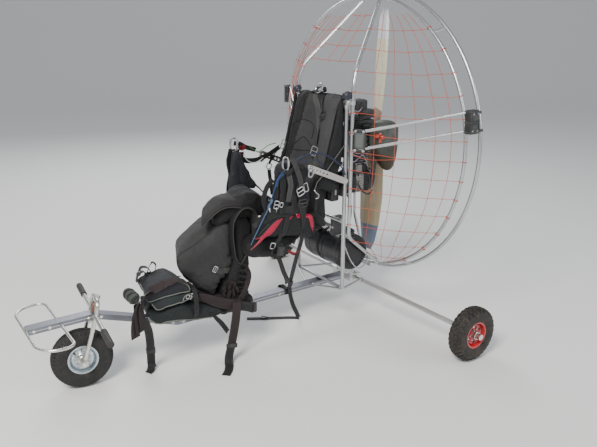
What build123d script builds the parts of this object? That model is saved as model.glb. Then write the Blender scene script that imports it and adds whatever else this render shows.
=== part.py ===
from build123d import *
import os
from math import sin, cos, radians, pi, atan2, degrees, hypot

# Paramotor trike: a three-wheeled undercarriage with a ring-guarded pusher
# propeller, a backpack engine, a slung harness and bags on the front boom.
# +X is forward, +Y is left, +Z is up, millimetres, ground at Z = 0.

os.makedirs("parts", exist_ok=True)

# ---------------------------------------------------------------- dimensions
AXLE_X = 730.0          # front wheel axle, ahead of the origin

WHEEL_R = 130.0         # all three tyres are 260 mm in diameter
TYRE_W = 81.0
RIM_R = 62.0
REAR_AXLE = 1547.0      # rear axle, behind the front axle
REAR_HALF_TRACK = 812.0

BOOM_W = 50.0           # rectangular keel tube
BOOM_H = 25.0
BOOM_WALL = 2.5
BOOM_FRONT_Z = 315.0
BOOM_REAR_Z = 179.0

RAKE = 18.8             # steering axis leans back, degrees
STEER_REST = -8.0       # the front wheel stands turned this much
LEG_HALF = 60.0         # fork legs, from the centre plane
LEG_R = 9.0
PEG_Z = 325.0
PEG_END = 358.0

RING_Z = 942.0          # centre of both guard rings
FRONT_RING_X, FRONT_RING_R, FRONT_TUBE_R = 1548.0, 688.0, 8.0
REAR_RING_X, REAR_RING_R, REAR_TUBE_R = 1612.0, 715.5, 9.0

POST_X, POST_Y, POST_R = 1275.0, 193.0, 10.0
UPRIGHT_X, UPRIGHT_Y, UPRIGHT_R = 1292.0, 219.0, 9.0

PROP_X, PROP_Z, PROP_R = 1640.0, 926.0, 647.0
PROP_TILT = 3.0         # the blades stand this far from upright
SHAFT_R = 11.0

TANK_X, TANK_Z, TANK_R, TANK_HALF = 1375.0, 365.0, 94.0, 160.0


def at(back, y, z):
    """A point given as distance behind the front axle, left, and up."""
    return (AXLE_X - back, y, z)


def save(part, label):
    part.label = label
    export_step(part, "parts/" + label + ".step")


def mirrored(part):
    return mirror(part, about=Plane.XZ)


def save_pair(part, label):
    """The left piece and its mirror image, two solids in one file."""
    with BuildPart() as pair:
        add(part)
        add(mirrored(part))
    save(pair.part, label)


def tube_along(points, radii, r_out, r_in=0.0):
    """A round tube along straight runs joined by tangent arcs."""
    with BuildPart() as run:
        with BuildLine() as path:
            if radii:
                FilletPolyline(*points, radius=radii)
            else:
                Polyline(*points)
        with BuildSketch(Plane(origin=path.line @ 0, z_dir=path.line % 0)):
            Circle(r_out)
            if r_in > 0:
                Circle(r_in, mode=Mode.SUBTRACT)
        sweep()
    return run.part


def rod(start, end, r_out, r_in=0.0):
    """A straight round rod or tube between two points."""
    a, b = Vector(*start), Vector(*end)
    with BuildPart() as run:
        with BuildSketch(Plane(origin=a, z_dir=(b - a))):
            Circle(r_out)
            if r_in > 0:
                Circle(r_in, mode=Mode.SUBTRACT)
        extrude(amount=(b - a).length)
    return run.part


def side_slab(points, y_low, y_high):
    """A slab whose outline lies in a fore-and-aft plane; points are (back, z)."""
    with BuildPart() as slab:
        with BuildSketch(Plane(origin=(0, y_low, 0), x_dir=(1, 0, 0), z_dir=(0, 1, 0))):
            with BuildLine():
                Polyline(*[(AXLE_X - b, -z) for b, z in points], close=True)
            make_face()
        extrude(amount=y_high - y_low)
    return slab.part


def slanted_slab(near, far, y_low, y_high):
    """A slab whose low side is a different outline from its high side; points are (back, z)."""
    with BuildPart() as slab:
        for y, points in ((y_low, far), (y_high, near)):
            with BuildSketch(Plane(origin=(0, y, 0), x_dir=(1, 0, 0), z_dir=(0, 1, 0))):
                with BuildLine():
                    Polyline(*[(AXLE_X - b, -z) for b, z in points], close=True)
                make_face()
        loft(ruled=True)
    return slab.part


def ring_point(back, radius, angle):
    """A point on a guard ring, angle from the top towards the left."""
    a = radians(angle)
    return at(back, radius * sin(a), RING_Z + radius * cos(a))


# ------------------------------------------------------------ steering frame
lean = radians(RAKE)
WHEEL_C = Vector(AXLE_X, 0, WHEEL_R)
steer_up = Vector(-sin(lean), 0, cos(lean))
steer_axis = Axis(origin=WHEEL_C, direction=steer_up)


def on_steer(height):
    """The point of the steering axis at this height above the ground."""
    t = (height - WHEEL_R) / cos(lean)
    return WHEEL_C + steer_up * t


def turned(part):
    return part.rotate(steer_axis, STEER_REST)


# -------------------------------------------------------------------- wheels
def tyre_part(centre):
    half = TYRE_W / 2
    with BuildPart() as tyre:
        with BuildSketch(Plane(origin=centre, x_dir=(0, 1, 0), z_dir=(1, 0, 0))):
            with BuildLine():
                Line((-27, RIM_R), (27, RIM_R))
                ThreePointArc((27, RIM_R), (half, 93), (33, 120))
                ThreePointArc((33, 120), (0, WHEEL_R), (-33, 120))
                ThreePointArc((-33, 120), (-half, 93), (-27, RIM_R))
            make_face()
        revolve(axis=Axis(centre, (0, 1, 0)))
    return tyre.part


def rim_part(centre, bore_r, hub_half, dish):
    """Rim band, dished disc and hub; dish shifts the disc outward."""
    with BuildPart() as rim:
        with BuildSketch(Plane(origin=centre, x_dir=(0, 1, 0), z_dir=(1, 0, 0))):
            with Locations((0, RIM_R - 2.5)):
                Rectangle(58, 5)
            with Locations((27.5, RIM_R - 6), (-27.5, RIM_R - 6)):
                Rectangle(3, 12)
            with Locations((dish, (RIM_R - 3 + 18) / 2)):
                Rectangle(4, RIM_R - 3 - 18)
            with Locations((0, (bore_r + 21) / 2)):
                Rectangle(2 * hub_half, 21 - bore_r)
        revolve(axis=Axis(centre, (0, 1, 0)))
    return rim.part


front_c = (AXLE_X, 0, WHEEL_R)
front_tyre = tyre_part(front_c)
front_rim = rim_part(front_c, 6.05, 36.0, 12.0)
save(turned(front_tyre), "front_tyre")
save(turned(front_rim), "front_rim")

rear_c = (AXLE_X - REAR_AXLE, REAR_HALF_TRACK, WHEEL_R)
rear_tyre = tyre_part(rear_c)
rear_rim = rim_part(rear_c, 8.05, 36.0, 14.0)
save(rear_tyre, "rear_left_tyre")
save(mirrored(rear_tyre), "rear_right_tyre")
save(rear_rim, "rear_left_rim")
save(mirrored(rear_rim), "rear_right_rim")

# ---------------------------------------------------------------- front fork
crown = on_steer(385.0)
elbow = on_steer(PEG_Z)
fork_path = [
    (AXLE_X, LEG_HALF + 2, WHEEL_R),
    (elbow.X, LEG_HALF, PEG_Z),
    (crown.X + 5, LEG_HALF - 2, 385.0),
    (crown.X + 5, -LEG_HALF + 2, 385.0),
    (elbow.X, -LEG_HALF, PEG_Z),
    (AXLE_X, -LEG_HALF - 2, WHEEL_R),
]
legs = tube_along(fork_path, [40, 26, 26, 40], LEG_R)
with BuildPart() as fork:
    add(legs)
    for side in (1, -1):
        # foot tube, welded to the leg at its elbow
        add(rod((elbow.X, side * (LEG_HALF - 2), PEG_Z), (elbow.X, side * PEG_END, PEG_Z), LEG_R))
        # axle lug at the foot of the leg
        with Locations((AXLE_X, side * (LEG_HALF + 2), WHEEL_R)):
            Cylinder(15, 16, rotation=(90, 0, 0))
    # steering stem under the crown
    add(rod(on_steer(289.0), on_steer(388.0), 6.0))
    # stem collar that clamps the crown tube, and the nut under the head
    add(rod(on_steer(372.0), on_steer(397.0), 14.0))
    add(rod(on_steer(280.0), on_steer(289.5), 11.0))
    with Locations(front_c):
        Cylinder(6.0, 200, rotation=(90, 0, 0), mode=Mode.SUBTRACT)
save(turned(fork.part), "front_fork")

with BuildPart() as front_axle:
    with Locations(front_c):
        Cylinder(6.0, 168, rotation=(90, 0, 0))
    with Locations((AXLE_X, 78, WHEEL_R), (AXLE_X, -78, WHEEL_R)):
        Cylinder(11.0, 12, rotation=(90, 0, 0))
    # spacers between the hub and the lugs
    with Locations((AXLE_X, 45.0, WHEEL_R), (AXLE_X, -45.0, WHEEL_R)):
        Cylinder(9.0, 15, rotation=(90, 0, 0))
save(turned(front_axle.part), "front_axle")

GRIP_IN = 228.0
with BuildPart() as grip:
    with BuildSketch(Plane(origin=(elbow.X, GRIP_IN, PEG_Z), x_dir=(1, 0, 0), z_dir=(0, 1, 0))):
        Circle(14.0)
        Circle(LEG_R, mode=Mode.SUBTRACT)
    extrude(amount=PEG_END - GRIP_IN)
    with BuildSketch(Plane(origin=(elbow.X, PEG_END, PEG_Z), x_dir=(1, 0, 0), z_dir=(0, 1, 0))):
        Circle(14.0)
    extrude(amount=6)
    fillet(grip.edges().filter_by(GeomType.CIRCLE).group_by(Axis.Y)[-1], 4)
with BuildPart() as grips:
    add(grip.part)
    add(mirrored(grip.part))
save(turned(grips.part), "foot_grips")

# ---------------------------------------------------------------------- boom
# back, z of the keel tube's centre line
BOOM_RUN = [
    (-205.0, BOOM_FRONT_Z),
    (65.0, BOOM_FRONT_Z),
    (440.0, BOOM_REAR_Z),
    (1480.0, BOOM_REAR_Z),
]


def boom_outline(half):
    """The keel's side outline, this far above and below its centre line."""
    top, low = [], []
    for i, (b, z) in enumerate(BOOM_RUN):
        shift = 0.0
        if 0 < i < len(BOOM_RUN) - 1:
            b0, z0 = BOOM_RUN[i - 1]
            b1, z1 = BOOM_RUN[i + 1]
            t0 = atan2(z - z0, b - b0)
            t1 = atan2(z1 - z, b1 - b)
            mid = (t0 + t1) / 2
            reach = half / cos((t1 - t0) / 2)
            top.append((b - reach * sin(mid), z + reach * cos(mid)))
            low.append((b + reach * sin(mid), z - reach * cos(mid)))
        else:
            top.append((b, z + half))
            low.append((b, z - half))
    return top + low[::-1]


keel_outer = side_slab(boom_outline(BOOM_H / 2), -BOOM_W / 2, BOOM_W / 2)
keel_inner = side_slab(boom_outline(BOOM_H / 2 - BOOM_WALL), -BOOM_W / 2 + BOOM_WALL, BOOM_W / 2 - BOOM_WALL)
HEAD_LOW, HEAD_HIGH = 294.0, 366.0
with BuildPart() as boom:
    add(keel_outer)
    add(keel_inner, mode=Mode.SUBTRACT)
    add(rod(on_steer(250.0), on_steer(420.0), 13.0), mode=Mode.SUBTRACT)
save(boom.part, "main_boom")

head_tube = rod(on_steer(HEAD_LOW), on_steer(HEAD_HIGH), 13.0, 6.05)
save(head_tube, "head_tube")

# Front guard loop: a flat oval of rod, welded to the sides and tip of the boom
LOOP_FRONT, LOOP_REAR, LOOP_HALF = -211.0, -76.0, 240.0
loop_path = [
    at(LOOP_REAR, BOOM_W / 2, BOOM_FRONT_Z),
    at(LOOP_REAR, LOOP_HALF, BOOM_FRONT_Z),
    at(LOOP_FRONT, LOOP_HALF - 4, BOOM_FRONT_Z),
    at(LOOP_FRONT, -LOOP_HALF + 4, BOOM_FRONT_Z),
    at(LOOP_REAR, -LOOP_HALF, BOOM_FRONT_Z),
    at(LOOP_REAR, -BOOM_W / 2, BOOM_FRONT_Z),
]
save(tube_along(loop_path, [38, 88, 88, 38], 6.0), "front_bumper")

# ----------------------------------------------------------------- rear axle
BEAM_R = 12.0
beam_in = at(1466.0, 46.0, BOOM_REAR_Z)
beam_out = at(REAR_AXLE, 752.0, WHEEL_R + 4)
save_pair(rod(beam_in, beam_out, BEAM_R), "rear_axle_beams")

with BuildPart() as bracket:
    # folded plate that wraps the boom's end and holds both beams
    with Locations(at(1466.0, 0, BOOM_REAR_Z)):
        Box(76, 150, 5 + BOOM_H + 5)
    add(keel_outer, mode=Mode.SUBTRACT)
    for side in (1, -1):
        add(rod((beam_in[0], side * beam_in[1], beam_in[2]), (beam_out[0], side * beam_out[1], beam_out[2]), BEAM_R),
            mode=Mode.SUBTRACT)
save(bracket.part, "axle_bracket")

with BuildPart() as stub:
    stub_y0 = 738.0
    # plate that closes the beam's end
    with Locations(at(REAR_AXLE, 756.0, WHEEL_R)):
        Box(40, 8, 44)
    with Locations(at(REAR_AXLE, 812.0, WHEEL_R)):
        Cylinder(8.0, 112, rotation=(90, 0, 0))
    with Locations(at(REAR_AXLE, 766.5, WHEEL_R)):
        Cylinder(13.0, 15, rotation=(90, 0, 0))
    with Locations(at(REAR_AXLE, 861.0, WHEEL_R)):
        Cylinder(14.0, 14, rotation=(90, 0, 0))
    add(rod(beam_in, beam_out, BEAM_R), mode=Mode.SUBTRACT)
save_pair(stub.part, "stub_axles")

# ------------------------------------------------------------------- chassis
BAR_Z = BOOM_REAR_Z + BOOM_H / 2 + POST_R
POST_TOP = 1165.0
post = rod(at(POST_X, POST_Y, BAR_Z), at(POST_X, POST_Y, POST_TOP), POST_R)
with BuildPart() as post_l:
    add(post)
    # closed cap with a hook on the post's head
    with Locations(at(POST_X, POST_Y, POST_TOP + 6)):
        Box(30, 30, 12)
save_pair(post_l.part, "chassis_posts")

# bar heights of the chassis: name column, z
CHASSIS_BARS = [("foot", BAR_Z), ("low", 560.0), ("middle", 850.0), ("top", 1045.0)]
with BuildPart() as bars:
    for bar_name, bar_z in CHASSIS_BARS:
        add(rod(at(POST_X, POST_Y, bar_z), at(POST_X, -POST_Y, bar_z), POST_R - 1))
    for side in (1, -1):
        add(rod(at(POST_X, side * POST_Y, BAR_Z - 20), at(POST_X, side * POST_Y, POST_TOP + 20), POST_R), mode=Mode.SUBTRACT)
save(bars.part, "chassis_crossbars")

# thin braces from the foot of each post, back to the axle beam and in to the keel
brace = rod(at(POST_X + 14, POST_Y - 5, BAR_Z - 4), at(1462.0, 134.0, BOOM_REAR_Z + 15), 5.5)
with BuildPart() as brace_l:
    add(brace)
    add(post, mode=Mode.SUBTRACT)
    add(rod(beam_in, beam_out, BEAM_R), mode=Mode.SUBTRACT)
fore_brace = rod(at(POST_X - 12, POST_Y - 8, BAR_Z), at(1205.0, BOOM_W / 2 + 5, BOOM_REAR_Z + 6), 5.5)
with BuildPart() as fore_l:
    add(fore_brace)
    add(keel_outer, mode=Mode.SUBTRACT)
    add(post, mode=Mode.SUBTRACT)
    add(bars.part, mode=Mode.SUBTRACT)
with BuildPart() as braces:
    add(brace_l.part)
    add(fore_l.part)
save_pair(braces.part, "foot_braces")

# ------------------------------------------------------------ guard uprights
# back, y, z, radius of the corner: the left upright from ring top to ring foot
UPRIGHT = [
    (1580.0, 58.0, 1611.0, 0),
    (1318.0, 206.0, 1300.0, 120),
    (UPRIGHT_X, UPRIGHT_Y, 1225.0, 120),
    (UPRIGHT_X - 4, UPRIGHT_Y - 2, 482.0, 60),
    (FRONT_RING_X, 157.0, 272.0, 0),
]
upright = tube_along([at(b, y, z) for b, y, z, r in UPRIGHT], [r for b, y, z, r in UPRIGHT if r], UPRIGHT_R)


def torus(back, radius, tube_r):
    with BuildPart() as hoop:
        with BuildSketch(Plane(origin=at(back, 0, RING_Z), x_dir=(1, 0, 0), z_dir=(0, -1, 0))):
            with Locations((0, radius)):
                Circle(tube_r)
        revolve(axis=Axis(at(back, 0, RING_Z), (1, 0, 0)))
    return hoop.part


front_ring = torus(FRONT_RING_X, FRONT_RING_R, FRONT_TUBE_R)
rear_ring = torus(REAR_RING_X, REAR_RING_R, REAR_TUBE_R)
save(front_ring, "cage_front_ring")
save(rear_ring, "cage_rear_ring")

# plates between the rings at top and foot, where the uprights end
with BuildPart() as ties:
    for sign in (1, -1):
        with BuildSketch(Plane(origin=at(1580.0, 0, RING_Z + sign * 678.0), z_dir=(0, 0, sign))):
            Rectangle(60, 190)
        extrude(amount=34)
    add(front_ring, mode=Mode.SUBTRACT)
    add(rear_ring, mode=Mode.SUBTRACT)
    add(upright, mode=Mode.SUBTRACT)
    add(mirrored(upright), mode=Mode.SUBTRACT)
tie_solids = ties.part
save(tie_solids, "ring_ties")
with BuildPart() as up_l:
    add(upright)
    add(front_ring, mode=Mode.SUBTRACT)
    add(rear_ring, mode=Mode.SUBTRACT)
save_pair(up_l.part, "cage_uprights")

# short tubes that hold the rings apart
SPACER_ANGLES = [41, 152, -41, -152]
with BuildPart() as spacers:
    for angle in SPACER_ANGLES:
        add(rod(ring_point(FRONT_RING_X, FRONT_RING_R, angle), ring_point(REAR_RING_X, REAR_RING_R, angle), 6.0))
    add(front_ring, mode=Mode.SUBTRACT)
    add(rear_ring, mode=Mode.SUBTRACT)
save(spacers.part, "ring_spacers")

# --------------------------------------------------- side struts of the cage
# z at the upright, z at the ring
STRUTS = [(1000.0, 1136.0), (918.0, 1054.0)]
STRUT_R = 7.0
with BuildPart() as struts:
    for z_in, z_out in STRUTS:
        add(rod(at(UPRIGHT_X, UPRIGHT_Y, z_in), at(1560.0, 690.0, z_out), STRUT_R))
    add(upright, mode=Mode.SUBTRACT)
    add(front_ring, mode=Mode.SUBTRACT)
    add(rear_ring, mode=Mode.SUBTRACT)
save_pair(struts.part, "side_struts")

with BuildPart() as cover:
    with BuildSketch(Plane(origin=at(1561.0, 700.0, 1040.0), z_dir=(0, 0, 1))):
        RectangleRounded(54, 40, 5)
    extrude(amount=106)
    add(front_ring, mode=Mode.SUBTRACT)
    add(rear_ring, mode=Mode.SUBTRACT)
    add(struts.part, mode=Mode.SUBTRACT)
save_pair(cover.part, "cage_joint_covers")

with BuildPart() as plate:
    s0 = Vector(*at(1312.0, 254.0, 0))
    along = Vector(-(1560.0 - UPRIGHT_X), 690.0 - UPRIGHT_Y, 0).normalized()
    with BuildSketch(Plane(origin=s0 + Vector(0, 0, 970.0), x_dir=along, z_dir=along.cross(Vector(0, 0, 1)))):
        Rectangle(58, 108)
    extrude(amount=11, both=True)
    add(struts.part, mode=Mode.SUBTRACT)
    add(upright, mode=Mode.SUBTRACT)
save_pair(plate.part, "strut_brackets")

centre_strut = tube_along(
    [at(1502.0, 0, 690.0), at(1507.0, 0, 520.0), at(1574.0, 0, 292.0)], [90], 7.0)
with BuildPart() as c_strut:
    add(centre_strut)
    add(tie_solids, mode=Mode.SUBTRACT)
    add(front_ring, mode=Mode.SUBTRACT)
save(c_strut.part, "centre_strut")

# -------------------------------------------------------------------- engine
ENGINE_X, CRANK_Z = 1508.0, 705.0
CASE_DEEP = 96.0
HEAD_Z = 1054.0                 # top of the cylinder head
with BuildPart() as crankcase:
    with Locations(at(ENGINE_X, 0, CRANK_Z)):
        Box(CASE_DEEP, 124, 116)
    fillet(crankcase.edges().filter_by(Axis.X), 30)
    # foot that carries the cylinder
    with Locations(at(ENGINE_X, 0, CRANK_Z + 68)):
        Box(80, 92, 44)
    add(centre_strut, mode=Mode.SUBTRACT)
save(crankcase.part, "engine_block")

with BuildPart() as cylinder:
    # cooling fins, then the barrel inside them
    FIN_STEP = 12.0
    FIN_LOW = 806.0
    for i in range(21):
        with Locations(at(ENGINE_X, 0, FIN_LOW + FIN_STEP * i)):
            Box(96, 104, 3)
    barrel_low = CRANK_Z + 90
    with Locations(at(ENGINE_X, 0, (barrel_low + HEAD_Z) / 2)):
        Cylinder(38, HEAD_Z - barrel_low)
save(cylinder.part, "engine_cylinder")

with BuildPart() as plug:
    with Locations(at(ENGINE_X, 0, HEAD_Z + 9)):
        Cylinder(12, 18)
    with Locations(at(ENGINE_X, 0, HEAD_Z + 18 + 31)):
        Cylinder(15, 62)
save(plug.part, "spark_plug_cap")

with BuildPart() as mounts_p:
    # engine carriers between the chassis bars and the crankcase
    case_front = ENGINE_X - CASE_DEEP / 2
    for side in (1, -1):
        with Locations(at((POST_X + 9 + case_front) / 2, side * 46.0, CRANK_Z + 15)):
            Box(case_front - POST_X - 9, 12, 60)
    with Locations(at(POST_X + 4.5, 0, CRANK_Z + 15)):
        Box(9, 2 * POST_Y - 2 * POST_R, 70)
save(mounts_p.part, "engine_carrier")

with BuildPart() as starter:
    with Locations(at(case_front - 18, 0, CRANK_Z)):
        Cylinder(68, 36, rotation=(0, 90, 0))
    add(mounts_p.part, mode=Mode.SUBTRACT)
save(starter.part, "starter_housing")

DRIVE_X = ENGINE_X + CASE_DEEP / 2
with BuildPart() as drive:
    with Locations(at(DRIVE_X + 18, 0, CRANK_Z)):
        Cylinder(64, 36, rotation=(0, 90, 0))
    with Locations(at(DRIVE_X + 18, 0, PROP_Z)):
        Cylinder(76, 36, rotation=(0, 90, 0))
    with Locations(at(DRIVE_X + 18, 0, (CRANK_Z + PROP_Z) / 2)):
        Box(30, 70, PROP_Z - CRANK_Z)
    # fixed shaft that carries the propeller hub
    with Locations(at((DRIVE_X + PROP_X + 34) / 2, 0, PROP_Z)):
        Cylinder(SHAFT_R, PROP_X + 34 - DRIVE_X, rotation=(0, 90, 0))
    add(cylinder.part, mode=Mode.SUBTRACT)
save(drive.part, "reduction_drive")

with BuildPart() as muffler:
    # height, distance behind the front axle and radius of each ring of the canister
    for z, back, r in ((783.0, 1562.0, 14.0), (796.0, 1560.0, 28.0), (832.0, 1550.0, 47.0), (888.0, 1533.0, 68.0),
                       (950.0, 1530.0, 72.0), (1006.0, 1530.0, 72.0), (1028.0, 1530.0, 58.0), (1038.0, 1530.0, 36.0)):
        with BuildSketch(Plane(origin=at(back, 180.0, z))):
            Circle(r)
    loft(ruled=True)
    # pipe from the cylinder
    add(tube_along([at(ENGINE_X, 45, 930.0), at(ENGINE_X, 98, 930.0), at(1520.0, 150, 930.0)], [24], 15.0))
    add(cylinder.part, mode=Mode.SUBTRACT)
save(muffler.part, "exhaust_muffler")

with BuildPart() as airbox:
    with Locations(at(1237.0, 102.0, 712.0)):
        Box(48, 138, 92)
    fillet(airbox.edges().filter_by(Axis.Z), 10)
save(airbox.part, "airbox")

# ---------------------------------------------------------------- propeller
# radius from the hub, chord, thickness, pitch angle in degrees
BLADE = [
    (30.0, 62.0, 24.0, 6.0),
    (70.0, 82.0, 24.0, 15.0),
    (150.0, 118.0, 19.0, 19.0),
    (330.0, 140.0, 14.0, 18.5),
    (480.0, 126.0, 11.0, 16.0),
    (590.0, 94.0, 8.0, 12.0),
    (PROP_R, 50.0, 5.0, 8.0),
]


def blade_face(r, chord, thick, pitch):
    """A six-sided section across the blade; the leading edge is the forward one."""
    p = radians(pitch)
    plane = Plane(origin=(0, 0, r), x_dir=(sin(p), cos(p), 0), z_dir=(0, 0, 1))
    with BuildSketch(plane) as section:
        with BuildLine():
            Polyline((chord * 0.5, 0), (chord * 0.30, thick * 0.45), (-chord * 0.25, thick * 0.40),
                     (-chord * 0.5, 0), (-chord * 0.25, -thick * 0.35), (chord * 0.30, -thick * 0.45), close=True)
        make_face()
    return section.sketch


with BuildPart() as blades:
    for half_turn in (0, 180):
        with BuildPart(mode=Mode.PRIVATE) as one:
            for row in BLADE:
                add(blade_face(*row))
            loft(ruled=True)
        add(one.part.rotate(Axis.X, half_turn))
    Cylinder(36, 30, rotation=(0, 90, 0))
    Cylinder(SHAFT_R + 12, 60, rotation=(0, 90, 0), mode=Mode.SUBTRACT)
blades_set = blades.part.rotate(Axis.X, -PROP_TILT).moved(Location(at(PROP_X, 0, PROP_Z)))
save(blades_set, "propeller_blades")

with BuildPart() as hub:
    with Locations((0, 0, 0)):
        Cylinder(SHAFT_R + 12, 30, rotation=(0, 90, 0))
    with Locations((15 + 4, 0, 0), (-15 - 4, 0, 0)):
        Cylinder(38, 8, rotation=(0, 90, 0))
    Cylinder(SHAFT_R + 0.05, 60, rotation=(0, 90, 0), mode=Mode.SUBTRACT)
save(hub.part.moved(Location(at(PROP_X, 0, PROP_Z))), "propeller_hub")

# ---------------------------------------------------------------- fuel tank
with BuildPart() as tank:
    with Locations(at(TANK_X, 0, TANK_Z)):
        Cylinder(TANK_R, 2 * TANK_HALF, rotation=(90, 0, 0))
    fillet(tank.edges().filter_by(GeomType.CIRCLE), 14)
save(tank.part, "fuel_tank")

with BuildPart() as saddle:
    # straps that hang the tank under the low bar
    for y in (-90.0, 90.0):
        with Locations(at(1312.0, y, 510.0)):
            Box(60, 24, 100)
    add(tank.part, mode=Mode.SUBTRACT)
    add(bars.part, mode=Mode.SUBTRACT)
save(saddle.part, "tank_brackets")

# --------------------------------------------------------------- swing arms
ARM_IN, ARM_OUT = 205.0, 211.0
ARM_PIVOT = (1266.0, 772.0)     # back, z
ARM_EYE = (1056.0, 862.0)
arm_len = hypot(ARM_PIVOT[0] - ARM_EYE[0], ARM_EYE[1] - ARM_PIVOT[1])
arm_rise = atan2(ARM_EYE[1] - ARM_PIVOT[1], ARM_PIVOT[0] - ARM_EYE[0])
ARM_HOLES, HOLE_STEP, HOLE_R = 6, 21.0, 5.0
arm_plane = Plane(origin=at(ARM_PIVOT[0], ARM_OUT, ARM_PIVOT[1]), x_dir=(cos(arm_rise), 0, sin(arm_rise)), z_dir=(0, -1, 0))
with BuildPart() as arm:
    with BuildSketch(arm_plane):
        with Locations((arm_len / 2, 0)):
            SlotOverall(arm_len + 30, 30)
        for i in range(ARM_HOLES):
            with Locations((arm_len - i * HOLE_STEP, 0)):
                Circle(HOLE_R, mode=Mode.SUBTRACT)
    extrude(amount=ARM_OUT - ARM_IN)
    # pivot bolt into the post
    with Locations(at(ARM_PIVOT[0], 206.5, ARM_PIVOT[1])):
        Cylinder(7, 19, rotation=(90, 0, 0))
    add(post, mode=Mode.SUBTRACT)
save_pair(arm.part, "swing_arms")

# ------------------------------------------------------------------ harness
# outlines of the soft pieces, each a list of (back, z), with their low and high y
save(side_slab([(1262, 1180), (1246, 1158), (1164, 880), (1126, 760), (1098, 532), (1160, 526), (1184, 590), (1184, 700),
                (1264, 960), (1264, 1075), (1294, 1160), (1290, 1181)], -176.0, 176.0), "seat_back")
save_pair(side_slab([(1112, 745), (1217, 708), (1226, 790), (1256, 860), (1256, 1140), (1246, 1150), (1164, 880), (1126, 790)],
                    177.0, 194.0), "seat_wings")
save(side_slab([(1094, 545), (720, 560), (712, 500), (740, 464), (895, 440), (1000, 488), (1094, 524)], -185.0, 185.0), "seat_base")
hip = side_slab([(1090, 640), (800, 700), (735, 640), (735, 575), (1088, 520)], 187.0, 212.0)
save_pair(hip, "hip_panels")

save(slanted_slab([(395, 545), (545, 616), (697, 652), (706, 462), (612, 330), (575, 320), (405, 460)],
                  [(495, 545), (597, 616), (700, 652), (706, 462), (642, 330), (617, 320), (502, 460)], -110.0, 125.0), "front_bag")
save(slanted_slab([(560, 642), (590, 700), (660, 740), (740, 765), (810, 762), (880, 700), (716, 660)],
                  [(655, 650), (685, 694), (725, 722), (785, 757), (830, 768), (885, 700), (775, 664)], -60.0, 115.0), "flap_bundle")
save(slanted_slab([(236, 395), (400, 442), (560, 302), (800, 262), (800, 196), (446, 196), (236, 272)],
                  [(278, 404), (395, 434), (560, 302), (800, 262), (800, 196), (446, 196), (278, 300)], -60.0, 150.0), "boom_bag")

with BuildPart() as roll:
    with Locations(at(219.0, 52.0, 378.0)):
        Cylinder(25, 90, rotation=(90, 0, 0))
    fillet(roll.edges().filter_by(GeomType.CIRCLE), 10)
save(roll.part, "bag_roll")
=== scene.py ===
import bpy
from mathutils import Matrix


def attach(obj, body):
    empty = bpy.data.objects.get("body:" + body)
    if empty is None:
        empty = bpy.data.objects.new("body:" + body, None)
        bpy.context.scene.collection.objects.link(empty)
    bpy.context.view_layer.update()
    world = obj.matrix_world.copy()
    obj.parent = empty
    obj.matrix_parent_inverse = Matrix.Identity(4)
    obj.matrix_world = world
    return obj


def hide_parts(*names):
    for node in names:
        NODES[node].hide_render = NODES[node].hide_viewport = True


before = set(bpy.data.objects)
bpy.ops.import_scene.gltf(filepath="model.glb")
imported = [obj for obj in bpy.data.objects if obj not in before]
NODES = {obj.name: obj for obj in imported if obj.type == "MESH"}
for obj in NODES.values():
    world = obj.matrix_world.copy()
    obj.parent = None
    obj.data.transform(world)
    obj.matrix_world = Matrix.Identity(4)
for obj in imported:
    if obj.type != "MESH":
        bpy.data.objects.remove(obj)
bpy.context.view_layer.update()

import random
from math import sin, cos, pi, radians, hypot, atan2, sqrt, exp, acos

import bmesh
import bpy
from mathutils import Matrix, Vector, noise

random.seed(7)
scene = bpy.context.scene
AXLE_X = 0.730


def A(back, y, z):
    """A point from millimetres behind the front axle, left and up."""
    return Vector((AXLE_X - back / 1000.0, y / 1000.0, z / 1000.0))


def V(*a):
    return Vector(a)


# ============================================================ camera and stage
def make_camera():
    cam = bpy.data.cameras.new("camera")
    cam.sensor_fit = "HORIZONTAL"
    cam.sensor_width = 36.0
    cam.lens = 36.0 * 631.99 / 597.0
    o = bpy.data.objects.new("camera", cam)
    scene.collection.objects.link(o)
    yaw, pitch, roll = radians(-125.188), radians(17.647), radians(0.110)
    d = V(cos(yaw) * cos(pitch), sin(yaw) * cos(pitch), -sin(pitch))
    r = d.cross(V(0, 0, 1)).normalized()
    u = r.cross(d)
    r2 = r * cos(roll) + u * sin(roll)
    u2 = -r * sin(roll) + u * cos(roll)
    m = Matrix((r2, u2, -d)).transposed().to_4x4()
    m.translation = V(1.36245, 2.50872, 1.50258)
    o.matrix_world = m
    cam.clip_start, cam.clip_end = 0.05, 60.0
    scene.camera = o


make_camera()


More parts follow.
